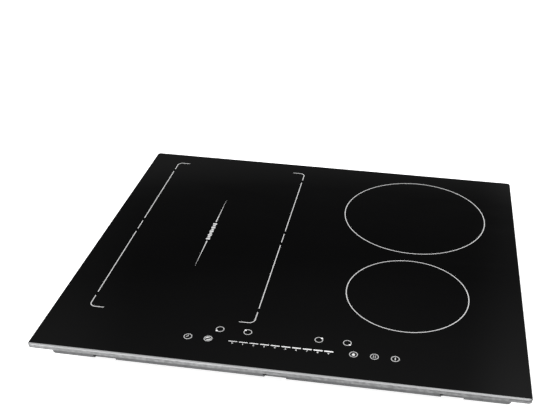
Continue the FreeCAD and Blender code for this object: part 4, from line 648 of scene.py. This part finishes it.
class COOKTOP_OT_flexible_zone(bpy.types.Operator):
    """Print the flexible zone: four corner brackets and three dashes on each side"""
    bl_idname = "cooktop.flexible_zone"
    bl_label = "Flexible zone"

    def execute(self, context):
        zones = context.scene.cooktop_zones
        thick = zones.print_thickness
        middle_x = FLEX.x + zones.flex_offset
        bm = bmesh.new()
        arm = zones.bracket_arm - zones.bracket_radius
        foot = zones.bracket_foot - zones.bracket_radius
        for sx in (-1, 1):
            side_x = middle_x + sx * zones.flex_half_width
            for sy in (-1, 1):
                end_y = FLEX.y + sy * zones.flex_half_length
                corner_x = side_x - sx * zones.bracket_radius
                corner_y = end_y - sy * zones.bracket_radius
                start = {(1, 1): 0, (-1, 1): 90, (-1, -1): 180, (1, -1): 270}[(sx, sy)]
                ring(bm, corner_x, corner_y, GLASS_TOP, zones.bracket_radius + zones.line / 2, zones.line,
                     thick, steps=10, start=math.radians(start), sweep=math.pi / 2)
                slab(bm, side_x, corner_y - sy * arm / 2, GLASS_TOP, zones.line, arm, thick)
                slab(bm, corner_x - sx * foot / 2, end_y, GLASS_TOP, foot, zones.line, thick)
            slab(bm, side_x, FLEX.y, GLASS_TOP, zones.line, zones.short_dash, thick)
            inner = zones.short_dash / 2 + zones.dash_gap
            outer = zones.flex_half_length - zones.bracket_arm - zones.dash_gap
            for sy in (-1, 1):
                dash_y = FLEX.y + sy * (inner + outer) / 2
                slab(bm, side_x, dash_y, GLASS_TOP, zones.line, outer - inner, thick)
        tidy_normals(bm)
        new_piece("flexible_zone_marks", bm,
                  enamel_material("zone_print", context.scene.cooktop_finishes.enamel))
        return {"FINISHED"}


class COOKTOP_OT_centre_mark(bpy.types.Operator):
    """Print the flexible zone's centre mark: a row of plain blocks between two tapered lines"""
    bl_idname = "cooktop.centre_mark"
    bl_label = "Centre mark"

    def execute(self, context):
        zones = context.scene.cooktop_zones
        thick = zones.print_thickness
        middle_x = FLEX.x + 2 * zones.flex_offset
        bm = bmesh.new()
        half = zones.mark_length / 2
        for sy in (-1, 1):
            wide_y = FLEX.y + sy * (half + MARK_GAP)
            tapered_line(bm, middle_x, wide_y, wide_y + sy * zones.taper_length, GLASS_TOP, TAPER_WIDE,
                         TAPER_FINE, thick)
        pitch = zones.mark_length / MARK_BLOCKS
        for i in range(MARK_BLOCKS):
            y = FLEX.y - half + pitch * (i + 0.5)
            width = zones.mark_width * (1.0 if i % 2 == 0 else 0.72)
            slab(bm, middle_x, y, GLASS_TOP, width, pitch * 0.78, thick, corner=pitch * 0.12)
        tidy_normals(bm)
        new_piece("flexible_zone_centre_mark", bm,
                  enamel_material("zone_print", context.scene.cooktop_finishes.enamel))
        return {"FINISHED"}


class COOKTOP_OT_zone_keys(bpy.types.Operator):
    """Print the four zone keys, each with a bright dot towards its zone"""
    bl_idname = "cooktop.zone_keys"
    bl_label = "Zone keys"

    def execute(self, context):
        keys = context.scene.cooktop_controls
        thick = context.scene.cooktop_zones.print_thickness
        finishes = context.scene.cooktop_finishes
        y = TRIM_LOW.y + keys.back_row
        rings = bmesh.new()
        dots = bmesh.new()
        reach = keys.key_radius - keys.key_line / 2
        for x, towards in ZONE_KEYS:
            ring(rings, x, y, GLASS_TOP, keys.key_radius, keys.key_line, thick)
            angle = math.radians(towards)
            disc(dots, x + reach * math.cos(angle), y + reach * math.sin(angle), GLASS_TOP, keys.dot_radius,
                 thick * 1.5)
        tidy_normals(rings)
        tidy_normals(dots)
        new_piece("zone_key_rings", rings, enamel_material("key_print", shade(finishes.enamel, 0.8)))
        new_piece("zone_key_dots", dots, enamel_material("bright_print", finishes.bright_enamel))
        return {"FINISHED"}


def timer_symbol(bm, x, y, z, thick):
    """Two clock hands."""
    slab(bm, x, y + 0.0012, z, 0.0009, 0.0034, thick)
    slab(bm, x - 0.0010, y + 0.0000, z, 0.0028, 0.0009, thick, turn=math.radians(28))


def bridge_symbol(bm, x, y, z, thick):
    """Two facing lobes, for zones that work as one."""
    for side in (-1, 1):
        disc_segment(bm, x, y, z, 0.0035, thick, 0.0011, side, tilt=math.radians(32))


def lock_symbol(bm, x, y, z, thick):
    """A padlock."""
    slab(bm, x, y - 0.0008, z, 0.0034, 0.0028, thick, corner=0.0005)
    ring(bm, x, y + 0.0006, z, 0.0014, 0.0006, thick, steps=14, sweep=math.pi)


def pause_symbol(bm, x, y, z, thick):
    """Two upright bars."""
    for side in (-1, 1):
        slab(bm, x + side * 0.0012, y, z, 0.0013, 0.0052, thick, corner=0.0003)


def power_symbol(bm, x, y, z, thick):
    """An upright bar in the ring."""
    slab(bm, x, y + 0.0002, z, 0.0011, 0.0052, thick, corner=0.0003)


class COOKTOP_OT_action_keys(bpy.types.Operator):
    """Print the five ringed symbols in the front row"""
    bl_idname = "cooktop.action_keys"
    bl_label = "Action keys"

    def execute(self, context):
        keys = context.scene.cooktop_controls
        thick = context.scene.cooktop_zones.print_thickness
        finishes = context.scene.cooktop_finishes
        y = TRIM_LOW.y + keys.front_row
        rings = bmesh.new()
        plain = bmesh.new()
        bright = bmesh.new()
        dim = bmesh.new()
        for x, symbol, layer in ((TIMER_X, timer_symbol, plain), (BRIDGE_X, bridge_symbol, plain),
                                 (LOCK_X, lock_symbol, bright), (PAUSE_X, pause_symbol, dim),
                                 (POWER_X, power_symbol, plain)):
            ring(rings, x, y, GLASS_TOP, keys.key_radius, keys.key_line, thick)
            symbol(layer, x, y, GLASS_TOP, thick)
        for name, bm, strength in (("action_key_rings", rings, 0.8), ("action_key_symbols", plain, 0.95),
                                   ("lock_symbol_print", bright, 1.4), ("pause_symbol_print", dim, 0.5)):
            tidy_normals(bm)
            new_piece(name, bm, enamel_material(name, shade(finishes.enamel, strength)))
        return {"FINISHED"}


class COOKTOP_OT_slider(bpy.types.Operator):
    """Print the power slider: bars that grow thicker and brighter, with a digit below each"""
    bl_idname = "cooktop.slider"
    bl_label = "Slider"

    def execute(self, context):
        keys = context.scene.cooktop_controls
        thick = context.scene.cooktop_zones.print_thickness
        finishes = context.scene.cooktop_finishes
        base_y = TRIM_LOW.y + keys.front_row - 0.0008
        first = keys.slider_middle - keys.slider_pitch * (keys.steps - 1) / 2
        bars = bmesh.new()
        digits = bmesh.new()
        for i in range(keys.steps):
            x = first + keys.slider_pitch * i
            share = i / (keys.steps - 1)
            tall = keys.slider_thin + (keys.slider_thick - keys.slider_thin) * share
            slab(bars, x, base_y + tall / 2, GLASS_TOP, keys.slider_bar, tall, thick, corner=0.0003)
            digit(digits, str(i), x, base_y - 0.0028, GLASS_TOP, keys.digit_size, thick)
        for bm in (bars, digits):
            tidy_normals(bm)
        span = keys.slider_pitch * keys.steps / 2
        enamel = slider_enamel(shade(finishes.enamel, 1.22), finishes.bright_enamel,
                               keys.slider_middle - span, keys.slider_middle + span)
        new_piece("slider_bars", bars, enamel)
        new_piece("slider_digits", digits, enamel)
        return {"FINISHED"}


# ---------------------------------------------------------------- case details

class COOKTOP_OT_hole_seals(bpy.types.Operator):
    """Put black dabs over the relief holes beside the pressed pads of the tray, as painted shade for the dark
    inside of the holes
    """
    bl_idname = "cooktop.hole_seals"
    bl_label = "Relief hole painted shade"

    def execute(self, context):
        radius = 0.0021
        depth = 0.0004
        height = 0.0041
        shade_pieces = bmesh.new()
        for x in HOLE_SHADE_X:
            place = Matrix.Translation((x, TRAY_LOW.y + depth / 2, TRAY_LOW.z + height))
            bmesh.ops.create_icosphere(shade_pieces, subdivisions=3, radius=1.0,
                                       matrix=place @ Matrix.Diagonal((radius, depth, radius, 1.0)))
        tidy_normals(shade_pieces)
        # The dark dabs are painted shade, standing where the shade inside the holes falls.
        new_piece("relief_hole_painted_shade", shade_pieces, silicone_bead("hole_shade_paint", (0.004, 0.004, 0.004), 1.2))
        return {"FINISHED"}


class COOKTOP_OT_rating_label(bpy.types.Operator):
    """Stick the blank foil label with its empty fields on the underside of the pan"""
    bl_idname = "cooktop.rating_label"
    bl_label = "Underside label"

    def execute(self, context):
        width, length, foil = 0.110, 0.046, 0.00015
        x, y = PAN_LOW.x + 0.075, PAN_HIGH.y - 0.085
        z = PAN_LOW.z
        bm = bmesh.new()
        slab(bm, x, y, z - foil, width, length, foil, corner=0.003, segments=6)
        tidy_normals(bm)
        new_piece("underside_label", bm, label_foil((0.68, 0.68, 0.66)))
        fields = bmesh.new()
        edge = 0.0006
        ink = 0.00003
        for sx, sy, fw, fl in ((-0.26, 0.0, 0.40, 0.78), (0.22, 0.22, 0.44, 0.34), (0.22, -0.22, 0.44, 0.34)):
            cx, cy = x + sx * width, y + sy * length
            half_w, half_l = fw * width / 2, fl * length / 2
            for side in (-1, 1):
                slab(fields, cx + side * half_w, cy, z - foil - ink, edge, 2 * half_l, ink)
                slab(fields, cx, cy + side * half_l, z - foil - ink, 2 * half_w, edge, ink)
        tidy_normals(fields)
        new_piece("underside_label_fields", fields, enamel_material("label_ink", (0.03, 0.03, 0.03)))
        return {"FINISHED"}


class COOKTOP_OT_cad_finishes(bpy.types.Operator):
    """Give every node of the packed model its procedural finish"""
    bl_idname = "cooktop.cad_finishes"
    bl_label = "Case and inner finishes"

    def execute(self, context):
        finishes = context.scene.cooktop_finishes
        by_slot = {
            "black_glass": black_glass(finishes.glass),
            "satin_trim": satin_trim(finishes.trim),
            "silicone": silicone_bead("silicone_bead", (0.03, 0.03, 0.03), 1.42),
            "seal_foam": cell_foam((0.05, 0.05, 0.052)),
            "galvanised_steel": zinc_sheet("galvanised_sheet", finishes.steel),
            "zinc_screws": plated_steel("zinc_screws", (0.60, 0.60, 0.57)),
            "clamp_steel": plated_steel("stamped_clamp_steel", (0.50, 0.51, 0.51), rough=(0.30, 0.46)),
            "black_plastic": moulded_plastic("black_moulding", (0.022, 0.022, 0.023)),
            "grey_plastic": moulded_plastic("grey_moulding", (0.30, 0.31, 0.32), texture=900.0),
            "terminal_brass": brass_terminal((0.70, 0.52, 0.25)),
            "circuit_board": circuit_board(),
            "sink_aluminium": mill_aluminium((0.68, 0.69, 0.70)),
            "capacitor_case": moulded_plastic("potted_parts", (0.03, 0.05, 0.13), rough=(0.2, 0.32)),
            "copper_winding": wound_copper((0.62, 0.25, 0.12)),
            "ferrite": mineral("ferrite", (0.035, 0.035, 0.038), 900.0, 0.62),
            "mica": mineral("mica_sheet", (0.62, 0.55, 0.40), 420.0, 0.5, flake=8.0),
            "sensor_ceramic": mineral("sensor_bead", (0.80, 0.78, 0.72), 1400.0, 0.35),
            "spring_steel": plated_steel("spring_strip", (0.48, 0.48, 0.49), rough=(0.18, 0.3)),
            "clear_plastic": moulded_plastic("frosted_light_guide", (0.75, 0.77, 0.79), rough=(0.3, 0.45)),
            "ribbon_insulation": moulded_plastic("flat_cable", (0.62, 0.62, 0.60), rough=(0.4, 0.5)),
        }
        for row in frame["record"]["subparts"]:
            node = frame["nodes"][row["node"]]
            node.data.materials.clear()
            node.data.materials.append(by_slot[row["material_slot"]])
        return {"FINISHED"}


# ---------------------------------------------------------------- stage

def soft_light(name, source, strength, spread):
    """A broad, even light that shines from the side of source onto the origin."""
    lamp = bpy.data.lights.new(name, "SUN")
    lamp.energy = strength
    lamp.angle = spread
    holder = bpy.data.objects.new(name, lamp)
    holder.location = source
    holder.rotation_euler = Vector(source).to_track_quat("Z", "Y").to_euler()
    bpy.context.scene.collection.objects.link(holder)


def studio_surround():
    """A dark studio: a faint strip at the horizon, brighter overhead, with a soft glow to each side."""
    world = bpy.data.worlds.new("studio")
    world.use_nodes = True
    nodes = world.node_tree.nodes
    links = world.node_tree.links
    direction = nodes.new("ShaderNodeTexCoord")
    split = nodes.new("ShaderNodeSeparateXYZ")
    links.new(direction.outputs["Generated"], split.inputs["Vector"])
    rise = nodes.new("ShaderNodeValToRGB")
    stops = rise.color_ramp.elements
    stops[0].position = 0.0
    stops[0].color = (0.10, 0.10, 0.10, 1)
    stops[1].position = 1.0
    stops[1].color = (1.1, 1.1, 1.1, 1)
    for position, level in ((0.45, 0.10), (0.475, 0.035), (0.55, 0.03), (0.61, 0.068),
                            (0.67, 0.125), (0.78, 0.30), (0.88, 0.9)):
        stop = stops.new(position)
        stop.color = (level, level, level, 1)
    links.new(split.outputs["Z"], rise.inputs["Fac"])
    both = nodes.new("ShaderNodeMath")
    both.operation = "MULTIPLY"
    for socket, start, end, gain in ((both.inputs[0], 0.07, 0.15, 2.4), (both.inputs[1], -0.30, -0.41, 2.0)):
        glow = nodes.new("ShaderNodeMapRange")
        glow.interpolation_type = "SMOOTHSTEP"
        glow.inputs["From Min"].default_value = start
        glow.inputs["From Max"].default_value = end
        glow.inputs["To Min"].default_value = 1.0
        glow.inputs["To Max"].default_value = gain
        links.new(split.outputs["X"], glow.inputs["Value"])
        links.new(glow.outputs["Result"], socket)
    background = nodes["Background"]
    links.new(rise.outputs["Color"], background.inputs["Color"])
    links.new(both.outputs["Value"], background.inputs["Strength"])
    bpy.context.scene.world = world


def floor_finish(glow):
    finish = Finish("studio_floor", ior=1.3)
    grain = finish.noise(3.0)
    finish.colour(finish.mix(finish.range(grain, 0, 1), (0.80, 0.80, 0.80), (0.84, 0.84, 0.84)))
    finish.shader.inputs["Roughness"].default_value = 0.8
    finish.shader.inputs["Emission Color"].default_value = (1.0, 1.0, 1.0, 1.0)
    finish.shader.inputs["Emission Strength"].default_value = glow
    return finish.material


class COOKTOP_OT_stage(bpy.types.Operator):
    """Set up the camera, the pale floor and the soft lights"""
    bl_idname = "cooktop.stage"
    bl_label = "Stage"

    def execute(self, context):
        stage = context.scene.cooktop_stage
        lens = bpy.data.cameras.new("camera")
        lens.lens = stage.lens
        lens.shift_x = stage.shift_x
        lens.shift_y = stage.shift_y
        lens.clip_end = 60.0
        camera = bpy.data.objects.new("camera", lens)
        turn = Matrix.Rotation(stage.heading, 4, "Z") @ Matrix.Rotation(math.pi / 2 - stage.tilt, 4, "X")
        camera.matrix_world = (Matrix.Translation(stage.camera_place) @ turn
                               @ Matrix.Rotation(stage.roll, 4, "Z"))
        context.scene.collection.objects.link(camera)
        context.scene.camera = camera
        floor_mesh = bmesh.new()
        bmesh.ops.create_grid(floor_mesh, x_segments=4, y_segments=4, size=12.0,
                              matrix=Matrix.Translation((0, 0, -0.0004)))
        mesh = bpy.data.meshes.new("floor")
        floor_mesh.to_mesh(mesh)
        floor_mesh.free()
        mesh.materials.append(floor_finish(stage.floor_glow))
        floor = bpy.data.objects.new("floor", mesh)
        context.scene.collection.objects.link(floor)
        soft_light("key_light", (-1.1, -1.5, 2.2), stage.key_power, math.radians(35))
        soft_light("back_light", (0.5, 1.6, 0.35), stage.back_power, math.radians(10))
        studio_surround()
        context.scene.view_settings.view_transform = "Standard"
        return {"FINISHED"}


# ---------------------------------------------------------------- panel and registration

STEPS = (COOKTOP_OT_stage, COOKTOP_OT_cad_finishes, COOKTOP_OT_round_zones, COOKTOP_OT_flexible_zone,
         COOKTOP_OT_centre_mark, COOKTOP_OT_zone_keys, COOKTOP_OT_action_keys, COOKTOP_OT_slider,
         COOKTOP_OT_hole_seals, COOKTOP_OT_rating_label)
SETTINGS = {
    "cooktop_zones": CooktopZoneSettings,
    "cooktop_controls": CooktopControlSettings,
    "cooktop_finishes": CooktopFinishSettings,
    "cooktop_stage": CooktopStageSettings,
}


class COOKTOP_PT_panel(bpy.types.Panel):
    """Lists the steps that dress the cooktop, with their settings"""
    bl_label = "Induction cooktop"
    bl_idname = "COOKTOP_PT_panel"
    bl_space_type = "VIEW_3D"
    bl_region_type = "UI"
    bl_category = "Cooktop"

    def draw(self, context):
        for step in STEPS:
            self.layout.operator(step.bl_idname)
        for name, group in SETTINGS.items():
            box = self.layout.box()
            box.label(text=group.__doc__)
            for setting in group.__annotations__:
                box.prop(getattr(context.scene, name), setting)


def register():
    for group in SETTINGS.values():
        bpy.utils.register_class(group)
    for step in STEPS:
        bpy.utils.register_class(step)
    bpy.utils.register_class(COOKTOP_PT_panel)
    for name, group in SETTINGS.items():
        setattr(bpy.types.Scene, name, bpy.props.PointerProperty(type=group))


def unregister():
    for name in SETTINGS:
        delattr(bpy.types.Scene, name)
    bpy.utils.unregister_class(COOKTOP_PT_panel)
    for step in reversed(STEPS):
        bpy.utils.unregister_class(step)
    for group in reversed(SETTINGS.values()):
        bpy.utils.unregister_class(group)


def main():
    register()
    bpy.ops.cooktop.stage()
    bpy.ops.cooktop.cad_finishes()
    bpy.ops.cooktop.round_zones()
    bpy.ops.cooktop.flexible_zone()
    bpy.ops.cooktop.centre_mark()
    bpy.ops.cooktop.zone_keys()
    bpy.ops.cooktop.action_keys()
    bpy.ops.cooktop.slider()
    bpy.ops.cooktop.hole_seals()
    bpy.ops.cooktop.rating_label()


if __name__ == "__main__":
    main()
